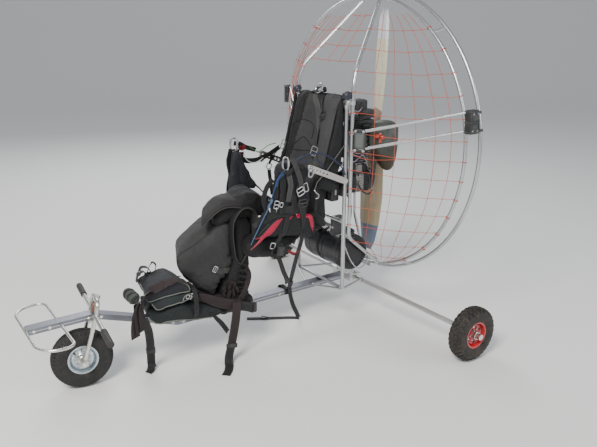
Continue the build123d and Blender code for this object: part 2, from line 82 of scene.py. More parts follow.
# ================================================================== materials
class Mat:
    """A node material built from a few short calls."""

    def __init__(self, name):
        self.m = bpy.data.materials.new(name)
        self.m.use_nodes = True
        self.t = self.m.node_tree
        self.b = self.t.nodes["Principled BSDF"]
        self.co = self.t.nodes.new("ShaderNodeTexCoord")
        self.height = None

    def n(self, kind, **kw):
        node = self.t.nodes.new("ShaderNode" + kind)
        for k, v in kw.items():
            if k in node.inputs:
                node.inputs[k].default_value = v
            else:
                setattr(node, k, v)
        return node

    def l(self, a, b):
        self.t.links.new(a, b)

    def mapped(self, scale=(1, 1, 1), rot=(0, 0, 0), uv=False):
        mp = self.t.nodes.new("ShaderNodeMapping")
        mp.inputs["Scale"].default_value = scale
        mp.inputs["Rotation"].default_value = rot
        self.l(self.co.outputs["UV" if uv else "Object"], mp.inputs["Vector"])
        return mp.outputs["Vector"]

    def noise(self, scale, detail=3.0, rough=0.55, vec=None, distortion=0.0):
        t = self.n("TexNoise")
        t.inputs["Scale"].default_value = scale
        t.inputs["Detail"].default_value = detail
        t.inputs["Roughness"].default_value = rough
        t.inputs["Distortion"].default_value = distortion
        self.l(vec if vec is not None else self.co.outputs["Object"], t.inputs["Vector"])
        return t.outputs["Fac"]

    def voronoi(self, scale, vec=None, feature="F1"):
        t = self.n("TexVoronoi")
        t.feature = feature
        t.inputs["Scale"].default_value = scale
        self.l(vec if vec is not None else self.co.outputs["Object"], t.inputs["Vector"])
        return t.outputs["Distance"]

    def wave(self, scale, axis="X", vec=None, distortion=0.0, profile="SIN"):
        t = self.n("TexWave")
        t.wave_type = "BANDS"
        t.bands_direction = axis
        t.wave_profile = profile
        t.inputs["Scale"].default_value = scale
        t.inputs["Distortion"].default_value = distortion
        self.l(vec if vec is not None else self.co.outputs["Object"], t.inputs["Vector"])
        return t.outputs["Fac"]

    def ramp(self, fac, stops):
        r = self.n("ValToRGB")
        e = r.color_ramp.elements
        while len(e) < len(stops):
            e.new(0.5)
        for i, (p, c) in enumerate(stops):
            e[i].position = p
            e[i].color = (c[0], c[1], c[2], 1.0) if hasattr(c, "__len__") else (c, c, c, 1.0)
        self.l(fac, r.inputs["Fac"])
        return r.outputs["Color"]

    def mix(self, fac, a, b, blend="MIX"):
        m = self.n("Mix", data_type="RGBA", blend_type=blend)
        for sock, val in ((m.inputs[0], fac), (m.inputs[6], a), (m.inputs[7], b)):
            if isinstance(val, bpy.types.NodeSocket):
                self.l(val, sock)
            elif hasattr(val, "__len__"):
                sock.default_value = (val[0], val[1], val[2], 1.0)
            else:
                sock.default_value = val
        return m.outputs[2]

    def math(self, op, a, b=0.0, clamp=False):
        m = self.n("Math", operation=op)
        m.use_clamp = clamp
        for sock, val in ((m.inputs[0], a), (m.inputs[1], b)):
            if isinstance(val, bpy.types.NodeSocket):
                self.l(val, sock)
            else:
                sock.default_value = val
        return m.outputs[0]

    def range(self, fac, lo, hi, to_lo=0.0, to_hi=1.0):
        r = self.n("MapRange")
        r.inputs["From Min"].default_value = lo
        r.inputs["From Max"].default_value = hi
        r.inputs["To Min"].default_value = to_lo
        r.inputs["To Max"].default_value = to_hi
        self.l(fac, r.inputs["Value"])
        return r.outputs["Result"]

    def set(self, **kw):
        for k, v in kw.items():
            k = k.replace("_", " ")
            s = self.b.inputs[k]
            if isinstance(v, bpy.types.NodeSocket):
                self.l(v, s)
            elif hasattr(v, "__len__") and len(v) == 3:
                s.default_value = (v[0], v[1], v[2], 1.0)
            else:
                s.default_value = v
        return self

    def bump(self, height, strength=0.3, distance=0.001):
        bp = self.n("Bump")
        bp.inputs["Strength"].default_value = strength
        bp.inputs["Distance"].default_value = distance
        self.l(height, bp.inputs["Height"])
        if self.height is not None:
            self.l(self.height, bp.inputs["Normal"])
        self.height = bp.outputs["Normal"]
        self.l(self.height, self.b.inputs["Normal"])
        return self

    def worn(self, colour, edge, amount=1.0, lo=0.53, hi=0.62):
        """Colour that turns to edge where the surface is convex."""
        g = self.n("NewGeometry")
        f = self.range(g.outputs["Pointiness"], lo, hi, 0.0, amount)
        return self.mix(f, colour, edge)


def metal(name, colour, rough=0.32, var=0.10, dirt=(0.20, 0.16, 0.11), dirt_amount=0.35, stretch=(1, 1, 1), scratch=0.15, coat=0.0):
    m = Mat(name)
    v = m.mapped(stretch)
    big = m.noise(7.0, 4.0, vec=v)
    fine = m.noise(160.0, 3.0, vec=v)
    tone = m.ramp(big, [(0.30, [c * 0.86 for c in colour]), (0.72, colour)])
    spots = m.range(m.noise(38.0, 6.0, 0.7), 0.58, 0.74, 0.0, dirt_amount)
    col = m.mix(spots, tone, dirt)
    r = m.math("ADD", m.range(fine, 0.2, 0.8, rough - var, rough + var), m.math("MULTIPLY", spots, 0.5), clamp=True)
    m.set(Base_Color=col, Metallic=1.0, Roughness=r)
    if coat:
        m.set(Coat_Weight=coat, Coat_Roughness=0.1)
    m.bump(m.noise(420.0, 2.0, vec=v), scratch, 0.0004)
    return m.m


def painted(name, colour, rough=0.3, chips=(0.55, 0.55, 0.55), chip_amount=0.6, dirt=(0.22, 0.18, 0.12), coat=0.25, var=0.12, dirty=0.35):
    m = Mat(name)
    big = m.noise(11.0, 5.0)
    tone = m.ramp(big, [(0.25, [c * 0.75 for c in colour]), (0.75, colour)])
    dust = m.range(m.noise(24.0, 6.0, 0.65), 0.5, 0.78, 0.0, dirty)
    col = m.mix(dust, tone, dirt)
    g = m.n("NewGeometry")
    edge = m.math("MULTIPLY", m.range(g.outputs["Pointiness"], 0.54, 0.60, 0.0, chip_amount), m.range(m.noise(120.0, 4.0), 0.45, 0.6))
    col = m.mix(edge, col, chips)
    m.set(Base_Color=col, Roughness=m.math("ADD", m.range(m.noise(60.0), 0.2, 0.8, rough - var, rough + var), m.math("MULTIPLY", dust, 0.4), clamp=True))
    m.set(Coat_Weight=coat, Coat_Roughness=0.12)
    m.bump(m.noise(300.0, 3.0), 0.12, 0.0004)
    return m.m


def plastic(name, colour, rough=0.45, grain=420.0, dusty=0.25, dirt=(0.26, 0.22, 0.17)):
    m = Mat(name)
    tone = m.ramp(m.noise(9.0, 4.0), [(0.3, [c * 0.8 for c in colour]), (0.75, [min(1, c * 1.15) for c in colour])])
    dust = m.range(m.noise(30.0, 6.0, 0.7), 0.5, 0.8, 0.0, dusty)
    col = m.worn(m.mix(dust, tone, dirt), [min(1.0, c * 2.2 + 0.05) for c in colour], 0.5)
    m.set(Base_Color=col, Roughness=m.math("ADD", m.range(m.noise(70.0), 0.2, 0.8, rough - 0.08, rough + 0.1), m.math("MULTIPLY", dust, 0.3), clamp=True))
    m.bump(m.noise(grain, 2.0), 0.25, 0.0005)
    return m.m


def fabric(name, colour, second=None, weave=620.0, dusty=0.30, dirt=None, rough=0.82, sheen=0.06, sheen_tint=(0.8, 0.82, 0.9), wrinkle=0.35):
    """Woven nylon: crossed threads, faded patches, creases and dust."""
    m = Mat(name)
    dirt = dirt or [c * 1.15 + d for c, d in zip(colour, (0.030, 0.026, 0.020))]
    second = second or [c * 0.62 for c in colour]
    fade = m.noise(5.0, 5.0, 0.6, distortion=0.4)
    tone = m.ramp(fade, [(0.30, second), (0.52, colour), (0.78, [min(1.0, c * 1.25) for c in colour])])
    dust = m.range(m.noise(17.0, 7.0, 0.72), 0.47, 0.80, 0.0, dusty)
    col = m.mix(dust, tone, dirt)
    wa = m.wave(weave / 6.283, "DIAGONAL", distortion=0.6)
    wb = m.wave(weave / 6.283, "X", distortion=0.4)
    wc = m.wave(weave / 6.283, "Z", distortion=0.4)
    threads = m.math("ADD", m.math("MULTIPLY", wb, wc), m.math("MULTIPLY", wa, 0.35))
    col = m.mix(m.range(threads, 0.0, 1.2, 0.0, 0.22), col, [c * 0.35 for c in colour])
    col = m.worn(col, [min(1.0, c * 1.5 + 0.010) for c in colour], 0.35, 0.52, 0.60)
    m.set(Base_Color=col, Roughness=m.math("ADD", m.range(m.noise(90.0), 0.2, 0.8, rough - 0.12, rough + 0.06), 0.0, clamp=True))
    m.set(Sheen_Weight=sheen, Sheen_Roughness=0.45, Sheen_Tint=sheen_tint)
    m.bump(m.noise(26.0, 6.0, 0.62, distortion=0.8), wrinkle, 0.004)
    m.bump(threads, 0.35, 0.0005)
    return m.m


def webbing(name, colour, edge=None, dusty=0.25, dirt=None, rough=0.72, sheen=0.05):
    """Woven tape: ribs across, two stitched lines near the edges. UV.x runs along in metres, UV.y across from 0 to 1."""
    m = Mat(name)
    dirt = dirt or [c * 1.2 + d for c, d in zip(colour, (0.040, 0.034, 0.026))]
    uv = m.co.outputs["UV"]
    sep = m.n("SeparateXYZ")
    m.l(uv, sep.inputs[0])
    ribs = m.n("TexWave", wave_type="BANDS", bands_direction="X")
    ribs.inputs["Scale"].default_value = 130.0
    m.l(uv, ribs.inputs["Vector"])
    cords = m.n("TexWave", wave_type="BANDS", bands_direction="Y")
    cords.inputs["Scale"].default_value = 3.2
    m.l(uv, cords.inputs["Vector"])
    weave = m.math("MULTIPLY", ribs.outputs["Fac"], m.range(cords.outputs["Fac"], 0.0, 1.0, 0.4, 1.0))
    across = m.math("ABSOLUTE", m.math("SUBTRACT", sep.outputs["Y"], 0.5))
    line = m.range(m.math("ABSOLUTE", m.math("SUBTRACT", across, 0.36)), 0.012, 0.03, 1.0, 0.0)
    stitch = m.math("MULTIPLY", line, m.range(ribs.outputs["Fac"], 0.35, 0.6))
    tone = m.ramp(m.noise(9.0, 5.0), [(0.25, [c * 0.6 for c in colour]), (0.7, colour)])
    dust = m.range(m.noise(26.0, 6.0, 0.7), 0.48, 0.8, 0.0, dusty)
    col = m.mix(dust, tone, dirt)
    col = m.mix(m.math("MULTIPLY", stitch, 0.55), col, edge or [min(1, c * 2.0 + 0.06) for c in colour])
    col = m.mix(m.range(weave, 0.0, 0.6, 0.35, 0.0), col, [c * 0.3 for c in colour])
    m.set(Base_Color=col, Roughness=m.range(m.noise(120.0), 0.2, 0.8, rough - 0.1, rough + 0.1))
    m.set(Sheen_Weight=sheen, Sheen_Roughness=0.5)
    m.bump(weave, 0.5, 0.0006)
    return m.m


def rubber(name, colour, mud=(0.16, 0.12, 0.08), muddy=0.6, rough=0.72):
    m = Mat(name)
    tone = m.ramp(m.noise(14.0, 5.0), [(0.3, [c * 0.7 for c in colour]), (0.7, [c * 1.2 for c in colour])])
    dirt = m.range(m.noise(34.0, 8.0, 0.75), 0.42, 0.70, 0.0, muddy)
    col = m.mix(dirt, tone, mud)
    m.set(Base_Color=col, Roughness=m.math("ADD", m.range(m.noise(80.0), 0.2, 0.8, rough - 0.15, rough + 0.05), m.math("MULTIPLY", dirt, 0.2), clamp=True))
    m.bump(m.noise(260.0, 4.0), 0.35, 0.0008)
    return m.m


def wood_prop(name):
    """Varnished laminated wood, pale, with a white painted outer half; the lower blade gets a tan copy of the pale
    finish and a blue-grey tip, as painted shade.
    """
    m = Mat(name)
    sep = m.n("SeparateXYZ")
    m.l(m.co.outputs["Object"], sep.inputs[0])
    dz = m.math("SUBTRACT", sep.outputs["Z"], 0.926)
    dy = sep.outputs["Y"]
    r = m.math("SQRT", m.math("ADD", m.math("MULTIPLY", dz, dz), m.math("MULTIPLY", dy, dy)))
    lam = m.wave(26.0, "X", vec=m.mapped((1, 0.15, 0.02)), distortion=0.8)
    grain = m.noise(60.0, 6.0, 0.65, vec=m.mapped((1.0, 1.0, 0.06)))
    # low is 1 on the lower blade, which is given painted shade
    low = m.range(dz, -0.06, 0.02, 1.0, 0.0)
    wood = m.ramp(grain, [(0.28, (0.30, 0.185, 0.125)), (0.62, (0.46, 0.30, 0.215))])
    wood = m.mix(m.range(lam, 0.42, 0.6, 0.0, 0.35), wood, (0.27, 0.165, 0.10))
    white = m.ramp(m.noise(30.0, 5.0), [(0.3, (0.76, 0.72, 0.52)), (0.7, (0.86, 0.83, 0.66))])
    # painted shade: the pale finish as it looks in shade, used on the lower blade
    shaded_cream = m.ramp(grain, [(0.28, (0.44, 0.36, 0.225)), (0.62, (0.58, 0.48, 0.32))])
    white = m.mix(low, white, shaded_cream)
    col = m.mix(m.range(m.math("ADD", r, m.math("MULTIPLY", m.noise(14.0, 3.0), 0.012)), 0.154, 0.160), wood, white)
    tip = m.range(r, 0.500, 0.503)
    # white tip, turned blue-grey on the lower blade as painted shade
    col = m.mix(tip, col, m.mix(low, (0.82, 0.84, 0.88), (0.20, 0.25, 0.33)))
    m.set(Base_Color=col, Roughness=m.range(m.noise(40.0), 0.2, 0.8, 0.22, 0.42), Coat_Weight=0.5, Coat_Roughness=0.12)
    m.bump(grain, 0.08, 0.0004)
    return m.m


MT = dict(
    tube=metal("bright_aluminium_tube", (0.62, 0.63, 0.64), 0.34, 0.05, dirt_amount=0.10, scratch=0.0),
    boom=metal("extruded_aluminium", (0.26, 0.27, 0.31), 0.42, 0.08, dirt_amount=0.25, stretch=(0.25, 1, 1), scratch=0.03),
    plate=metal("milled_aluminium", (0.72, 0.72, 0.72), 0.38, 0.10, dirt_amount=0.28),
    arm=metal("matt_aluminium_strip", (0.66, 0.64, 0.62), 0.42, 0.08, dirt_amount=0.15, scratch=0.05),
    zinc=metal("bright_zinc", (0.80, 0.79, 0.74), 0.30, 0.12, dirt=(0.30, 0.22, 0.13), dirt_amount=0.35),
    rimzinc=metal("galvanised_pressing", (0.66, 0.72, 0.76), 0.34, 0.12, dirt=(0.34, 0.32, 0.28), dirt_amount=0.45),
    steel=metal("plain_steel", (0.60, 0.60, 0.60), 0.30, 0.12, dirt=(0.16, 0.11, 0.07), dirt_amount=0.3),
    rust=painted("red_oxide_brown", (0.18, 0.07, 0.04), 0.55, chips=(0.30, 0.25, 0.22), coat=0.0),
    cast=metal("sand_cast_alloy", (0.50, 0.49, 0.48), 0.50, 0.12, dirt=(0.10, 0.08, 0.06), dirt_amount=0.5, scratch=0.5),
    fins=metal("cooling_fins", (0.30, 0.285, 0.30), 0.45, 0.10, dirt=(0.04, 0.03, 0.025), dirt_amount=0.5),
    red=painted("red_enamel", (0.62, 0.02, 0.03), 0.28),
    orange=painted("orange_red_anodised", (0.50, 0.035, 0.012), 0.30, chip_amount=0.2, dirty=0.1),
    black=plastic("black_moulding", (0.010, 0.010, 0.011), 0.40),
    black_matt=plastic("black_cover", (0.014, 0.015, 0.016), 0.55),
    grey=plastic("grey_green_moulding", (0.060, 0.066, 0.064), 0.50),
    tank=plastic("tank_moulding", (0.010, 0.010, 0.013), 0.28, grain=40.0, dusty=0.04),
    tyre=rubber("tyre_rubber_front", (0.014, 0.015, 0.016), muddy=0.13),
    tyre_r=rubber("tyre_rubber_rear", (0.017, 0.016, 0.015), muddy=0.32),
    grip=rubber("grip_rubber", (0.028, 0.028, 0.030), muddy=0.2),
    hose=rubber("hose_rubber", (0.02, 0.02, 0.022), muddy=0.05, rough=0.5),
    prop=wood_prop("propeller_finish"),
    net=fabric("net_cord", (0.50, 0.075, 0.035), weave=2000.0, dusty=0.15, wrinkle=0.0),
    greyfab=fabric("grey_nylon", (0.027, 0.027, 0.029)),
    greyfab2=fabric("grey_brown_nylon", (0.020, 0.0185, 0.0185), (0.011, 0.010, 0.010), dusty=0.2),
    blackfab=fabric("black_nylon", (0.0062, 0.0064, 0.0072), dusty=0.12),
    mesh=fabric("black_spacer_mesh", (0.0050, 0.0054, 0.0062), weave=300.0, dusty=0.06, wrinkle=0.2),
    navy=fabric("navy_nylon", (0.0115, 0.0130, 0.0180), (0.007, 0.008, 0.011)),
    teal=fabric("teal_nylon", (0.0085, 0.0135, 0.0130), (0.005, 0.008, 0.008)),
    olive=fabric("grey_green_nylon", (0.060, 0.068, 0.058), (0.035, 0.040, 0.034)),
    crimson=fabric("crimson_satin", (0.40, 0.004, 0.040), (0.20, 0.002, 0.016), weave=900.0, dusty=0.02, rough=0.42, sheen=0.06, sheen_tint=(1.0, 0.35, 0.5)),
    piping=fabric("silver_grey_piping", (0.105, 0.105, 0.095), weave=1500.0, wrinkle=0.0),
    darkpipe=fabric("dark_piping", (0.05, 0.05, 0.055), weave=1500.0, wrinkle=0.0),
    web_black=webbing("black_webbing", (0.0095, 0.0095, 0.0110)),
    web_grey=webbing("grey_webbing", (0.062, 0.061, 0.060)),
    web_maroon=webbing("maroon_webbing", (0.021, 0.0085, 0.0105), (0.055, 0.030, 0.030)),
    web_brown=webbing("brown_grey_webbing", (0.040, 0.036, 0.036)),
    web_red=webbing("red_webbing", (0.55, 0.03, 0.04)),
    blueline=fabric("blue_line", (0.012, 0.042, 0.125), weave=1800.0, wrinkle=0.0),
    paleline=fabric("pale_blue_line", (0.055, 0.11, 0.20), weave=1800.0, wrinkle=0.0),
    greenline=fabric("green_line", (0.08, 0.22, 0.08), weave=1800.0, wrinkle=0.0),
)


def muffler_mat():
    """Olive heat paint above, browned and banded below."""
    m = Mat("heat_stained_muffler")
    sep = m.n("SeparateXYZ")
    m.l(m.co.outputs["Object"], sep.inputs[0])
    z = m.math("ADD", sep.outputs["Z"], m.math("MULTIPLY", m.noise(16.0, 5.0), 0.03))
    green = m.ramp(m.noise(22.0, 5.0), [(0.3, (0.050, 0.060, 0.052)), (0.7, (0.105, 0.120, 0.108))])
    brown = m.ramp(m.noise(26.0, 6.0), [(0.3, (0.020, 0.016, 0.009)), (0.7, (0.060, 0.046, 0.024))])
    col = m.mix(m.range(z, 0.850, 0.935), brown, green)
    col = m.mix(m.range(m.noise(70.0, 6.0, 0.7), 0.58, 0.76, 0.0, 0.45), col, (0.15, 0.075, 0.035))
    m.set(Base_Color=col, Metallic=0.35, Roughness=m.range(m.noise(50.0), 0.2, 0.8, 0.34, 0.6))
    m.bump(m.noise(180.0, 4.0), 0.3, 0.0008)
    return m.m


MT["muffler"] = muffler_mat()


# ================================================================ mesh helpers
def link(o):
    scene.collection.objects.link(o)
    return o


class Build:
    """Collects vertices, faces, UVs and material numbers for one mesh."""

    def __init__(self):
        self.v, self.f, self.uv, self.mi, self.flat = [], [], [], [], []
        self.cur = 0

    def mat(self, i):
        self.cur = i
        return self

    def add(self, verts, faces, uvs=None, flat=False):
        base = len(self.v)
        self.v.extend([tuple(p) for p in verts])
        for k, f in enumerate(faces):
            self.f.append([base + i for i in f])
            self.uv.append(uvs[k] if uvs else [(0.0, 0.0)] * len(f))
            self.mi.append(self.cur)
            self.flat.append(flat)

    def grid(self, rows, close_u=False, close_v=False, flip=False, uv=None, flat=False):
        """rows[i][j] points; faces between neighbours."""
        ni, nj = len(rows), len(rows[0])
        verts = [p for r in rows for p in r]
        faces, uvs = [], []
        for i in range(ni if close_u else ni - 1):
            for j in range(nj if close_v else nj - 1):
                a, b = i, (i + 1) % ni
                c, d = j, (j + 1) % nj
                q = [a * nj + c, b * nj + c, b * nj + d, a * nj + d]
                if flip:
                    q = q[::-1]
                faces.append(q)
                if uv:
                    jj = j + 1
                    ii = i + 1
                    w = [uv(i, j), uv(ii, j), uv(ii, jj), uv(i, jj)]
                    uvs.append(w[::-1] if flip else w)
        self.add(verts, faces, uvs if uv else None, flat)

    def cap(self, ring, flip=False, flat=True):
        n = len(ring)
        c = sum((Vector(p) for p in ring), Vector()) / n
        faces = [[i, (i + 1) % n, n] for i in range(n)]
        if flip:
            faces = [f[::-1] for f in faces]
        self.add(list(ring) + [c], faces, flat=flat)

    def tube(self, pts, r, seg=10, closed=False, caps=True, uvscale=None):
        """A round tube along points; r is a number or a function of the share of the length."""
        pts = [Vector(p) for p in pts]
        frames = transport(pts, closed)
        rows = []
        n = len(pts)
        for i, (p, (t, a, b)) in enumerate(zip(pts, frames)):
            rr = r(i / (n - 1)) if callable(r) else r
            rows.append([p + (a * cos(2 * pi * k / seg) + b * sin(2 * pi * k / seg)) * rr for k in range(seg)])
        L = [0.0]
        for i in range(1, n):
            L.append(L[-1] + (pts[i] - pts[i - 1]).length)
        L.append(L[-1] + 0.01)
        self.grid(rows, close_u=closed, close_v=True, flip=False, uv=lambda i, j: (L[i], j / seg))
        if not closed and caps:
            self.cap(rows[0], flip=False)
            self.cap(rows[-1], flip=True)

    def lathe(self, profile, origin, axis, seg=48, closed=False, start=0.0, sweep=2 * pi, flip=False):
        """profile is (distance along the axis, radius)."""
        origin, ax = Vector(origin), Vector(axis).normalized()
        ref = V(0, 0, 1) if abs(ax.z) < 0.9 else V(1, 0, 0)
        e1 = (ref - ax * ref.dot(ax)).normalized()
        e2 = ax.cross(e1)
        full = abs(sweep - 2 * pi) < 1e-6
        count = seg if full else seg + 1
        rows = []
        for k in range(count):
            a = start + sweep * k / seg
            dirv = e1 * cos(a) + e2 * sin(a)
            rows.append([origin + ax * h + dirv * max(r, 1e-5) for h, r in profile])
        self.grid(rows, close_u=full, close_v=closed, flip=not flip)

    def box(self, c, size, rot=None, bevel=0.0, seg=2):
        """An edge-rounded box; rot is a 3x3 matrix whose columns are its axes."""
        bm = bmesh.new()
        bmesh.ops.create_cube(bm, size=1.0)
        bmesh.ops.scale(bm, vec=Vector(size), verts=bm.verts)
        if bevel > 0:
            bmesh.ops.bevel(bm, geom=list(bm.edges), offset=min(bevel, min(size) * 0.49), segments=seg, affect="EDGES", profile=0.5)
        m = (rot.to_4x4() if rot is not None else Matrix.Identity(4))
        m.translation = Vector(c)
        bmesh.ops.transform(bm, matrix=m, verts=bm.verts)
        bm.verts.index_update()
        self.add([v.co.copy() for v in bm.verts], [[v.index for v in f.verts] for f in bm.faces])
        bm.free()

    def hexbolt(self, p, axis, r, h, washer=True, thread=0.0):
        p, ax = Vector(p), Vector(axis).normalized()
        ref = V(0, 0, 1) if abs(ax.z) < 0.9 else V(1, 0, 0)
        e1 = (ref - ax * ref.dot(ax)).normalized()
        e2 = ax.cross(e1)
        if washer:
            self.lathe([(0, 0), (0, r * 1.45), (h * 0.25, r * 1.45), (h * 0.25, 0)], p, ax, 18)
            p = p + ax * h * 0.25
        for lo, hi, r0, r1 in ((0.0, h * 0.85, r, r), (h * 0.85, h, r, r * 0.86)):
            rows = [[p + ax * q + (e1 * cos(pi / 3 * k) + e2 * sin(pi / 3 * k)) * rr for k in range(6)] for q, rr in ((lo, r0), (hi, r1))]
            self.grid(rows, close_v=True, flip=False, flat=True)
        self.cap(rows[-1], flip=True)
        if thread:
            self.lathe([(0, 0), (0, r * 0.5), (thread, r * 0.5), (thread + r * 0.1, r * 0.4), (thread + r * 0.1, 0)], p + ax * h * 0.9, ax, 14)

    def strap(self, pts, side, width, thick=0.0022, smooth=12, uvoff=0.0):
        """Flat webbing along points; side is its width direction, one vector or one for each point."""
        pts = [Vector(p) for p in pts]
        sides = [Vector(side)] * len(pts) if not isinstance(side, (list, tuple)) or isinstance(side[0], (int, float)) else [Vector(s) for s in side]
        path, spath = catmull(pts, smooth), catmull(sides, smooth)
        n = len(path)
        rows, L = [], [0.0]
        for i in range(n):
            t = (path[min(i + 1, n - 1)] - path[max(i - 1, 0)]).normalized()
            s = spath[i] - t * spath[i].dot(t)
            s.normalize()
            nn = t.cross(s).normalized()
            w = width(i / (n - 1)) if callable(width) else width
            h, e = thick / 2, thick * 0.45
            ring = [s * (-w / 2) + nn * 0, s * (-w / 2 + e) + nn * h, s * (-w / 6) + nn * h, s * (w / 6) + nn * h, s * (w / 2 - e) + nn * h, s * (w / 2),
                    s * (w / 2 - e) - nn * h, s * (w / 6) - nn * h, s * (-w / 6) - nn * h, s * (-w / 2 + e) - nn * h]
            rows.append([path[i] + q for q in ring])
            if i:
                L.append(L[-1] + (path[i] - path[i - 1]).length)
        L.append(L[-1])
        across = [0.0, 0.04, 0.33, 0.67, 0.96, 1.0, 0.96, 0.67, 0.33, 0.04, 0.0]
        self.grid(rows, close_v=True, uv=lambda i, j: (L[min(i, n - 1)] + uvoff, across[j]))
        self.cap(rows[0], flip=False, flat=False)
        self.cap(rows[-1], flip=True, flat=False)

    def obj(self, name, mats, bevel=None, subsurf=0, autosmooth=35.0):
        me = bpy.data.meshes.new(name)
        me.from_pydata(self.v, [], self.f)
        for m in (mats if isinstance(mats, (list, tuple)) else [mats]):
            me.materials.append(MT[m] if isinstance(m, str) else m)
        me.polygons.foreach_set("material_index", self.mi)
        uvl = me.uv_layers.new(name="UVMap")
        flat = [c for f in self.uv for uv in f for c in uv]
        uvl.data.foreach_set("uv", flat)
        me.validate()
        me.update()
        o = link(bpy.data.objects.new(name, me))
        bm = bmesh.new()
        bm.from_mesh(me)
        bmesh.ops.remove_doubles(bm, verts=bm.verts, dist=1e-6)
        bmesh.ops.recalc_face_normals(bm, faces=bm.faces)
        bm.to_mesh(me)
        bm.free()
        shade(o, autosmooth)
        if subsurf:
            s = o.modifiers.new("sub", "SUBSURF")
            s.levels = s.render_levels = subsurf
            apply_mods(o)
            shade(o, autosmooth)
        return o


def shade(o, angle=35.0):
    me = o.data
    me.polygons.foreach_set("use_smooth", [True] * len(me.polygons))
    bm = bmesh.new()
    bm.from_mesh(me)
    lim = radians(angle)
    for e in bm.edges:
        if len(e.link_faces) == 2:
            e.smooth = e.calc_face_angle(0.0) < lim
        else:
            e.smooth = False
    bm.to_mesh(me)
    bm.free()
    me.update()


def apply_mods(o):
    dg = bpy.context.evaluated_depsgraph_get()
    dg.update()
    me = bpy.data.meshes.new_from_object(o.evaluated_get(dg), preserve_all_data_layers=True, depsgraph=dg)
    old = o.data
    o.modifiers.clear()
    o.data = me
    if old.users == 0:
        bpy.data.meshes.remove(old)
    return o


def transport(pts, closed=False):
    """Frames that turn as little as they can along a line of points."""
    n = len(pts)
    tang = []
    for i in range(n):
        a = pts[i - 1] if (i > 0 or closed) else pts[0]
        b = pts[(i + 1) % n] if (i < n - 1 or closed) else pts[-1]
        t = b - a
        tang.append(t.normalized() if t.length > 1e-9 else V(0, 0, 1))
    t = tang[0]
    ref = V(0, 0, 1) if abs(t.z) < 0.9 else V(1, 0, 0)
    a = (ref - t * ref.dot(t)).normalized()
    out = []
    for i in range(n):
        if i:
            ax = tang[i - 1].cross(tang[i])
            if ax.length > 1e-9:
                ang = atan2(ax.length, tang[i - 1].dot(tang[i]))
                a = Matrix.Rotation(ang, 3, ax.normalized()) @ a
            a = (a - tang[i] * a.dot(tang[i])).normalized()
        out.append((tang[i], a, tang[i].cross(a)))
    if closed:  # spread the twist that is left over the loop
        a0, last = out[0][1], out[-1]
        ax = last[0].cross(out[0][0])
        a_end = last[1]
        if ax.length > 1e-9:
            a_end = Matrix.Rotation(atan2(ax.length, last[0].dot(out[0][0])), 3, ax.normalized()) @ a_end
        tw = atan2(a_end.cross(a0).dot(out[0][0]), a_end.dot(a0))
        res = []
        for i, (t, a, b) in enumerate(out):
            q = Matrix.Rotation(tw * i / n, 3, t)
            res.append((t, q @ a, q @ b))
        out = res
    return out


def catmull(pts, per=10, closed=False):
    """A smooth line through the points."""
    pts = [Vector(p) for p in pts]
    n = len(pts)
    if n < 3 and not closed:
        return [pts[0].lerp(pts[1], k / per) for k in range(per + 1)]
    out = []
    for i in range(n if closed else n - 1):
        p0 = pts[(i - 1) % n] if (closed or i > 0) else pts[0] * 2 - pts[1]
        p1, p2 = pts[i], pts[(i + 1) % n]
        p3 = pts[(i + 2) % n] if (closed or i + 2 < n) else pts[-1] * 2 - pts[-2]
        d1 = max((p1 - p0).length, 1e-6) ** 0.5
        d2 = max((p2 - p1).length, 1e-6) ** 0.5
        d3 = max((p3 - p2).length, 1e-6) ** 0.5
        m1 = (p2 - p1) / d2 - (p2 - p0) / (d1 + d2) + (p1 - p0) / d1
        m2 = (p3 - p2) / d3 - (p3 - p1) / (d2 + d3) + (p2 - p1) / d2
        m1, m2 = m1 * d2, m2 * d2
        for k in range(per):
            t = k / per
            out.append(p1 * (2 * t ** 3 - 3 * t * t + 1) + m1 * (t ** 3 - 2 * t * t + t) + p2 * (-2 * t ** 3 + 3 * t * t) + m2 * (t ** 3 - t * t))
    if not closed:
        out.append(pts[-1])
    return out


def arc_corners(pts, radii, seg=8):
    """Straight runs joined by arcs, as points."""
    pts = [Vector(p) for p in pts]
    out = [pts[0]]
    for i in range(1, len(pts) - 1):
        a, b, c = pts[i - 1], pts[i], pts[i + 1]
        r = radii[i - 1] if isinstance(radii, (list, tuple)) else radii
        u, w = (a - b).normalized(), (c - b).normalized()
        ang = acos(max(-1, min(1, u.dot(w))))
        cut = min(r / max(0.05, abs(sin(ang / 2) / max(1e-6, cos(ang / 2)))) , (a - b).length * 0.49, (c - b).length * 0.49)
        s, e = b + u * cut, b + w * cut
        for k in range(seg + 1):
            t = k / seg
            out.append(s * (1 - t) ** 2 + b * 2 * t * (1 - t) + e * t * t)
    out.append(pts[-1])
    return out


def ride(o, body, slot=None, *replaces):
    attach(o, body)
    if replaces:
        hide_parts(*replaces)
    return o


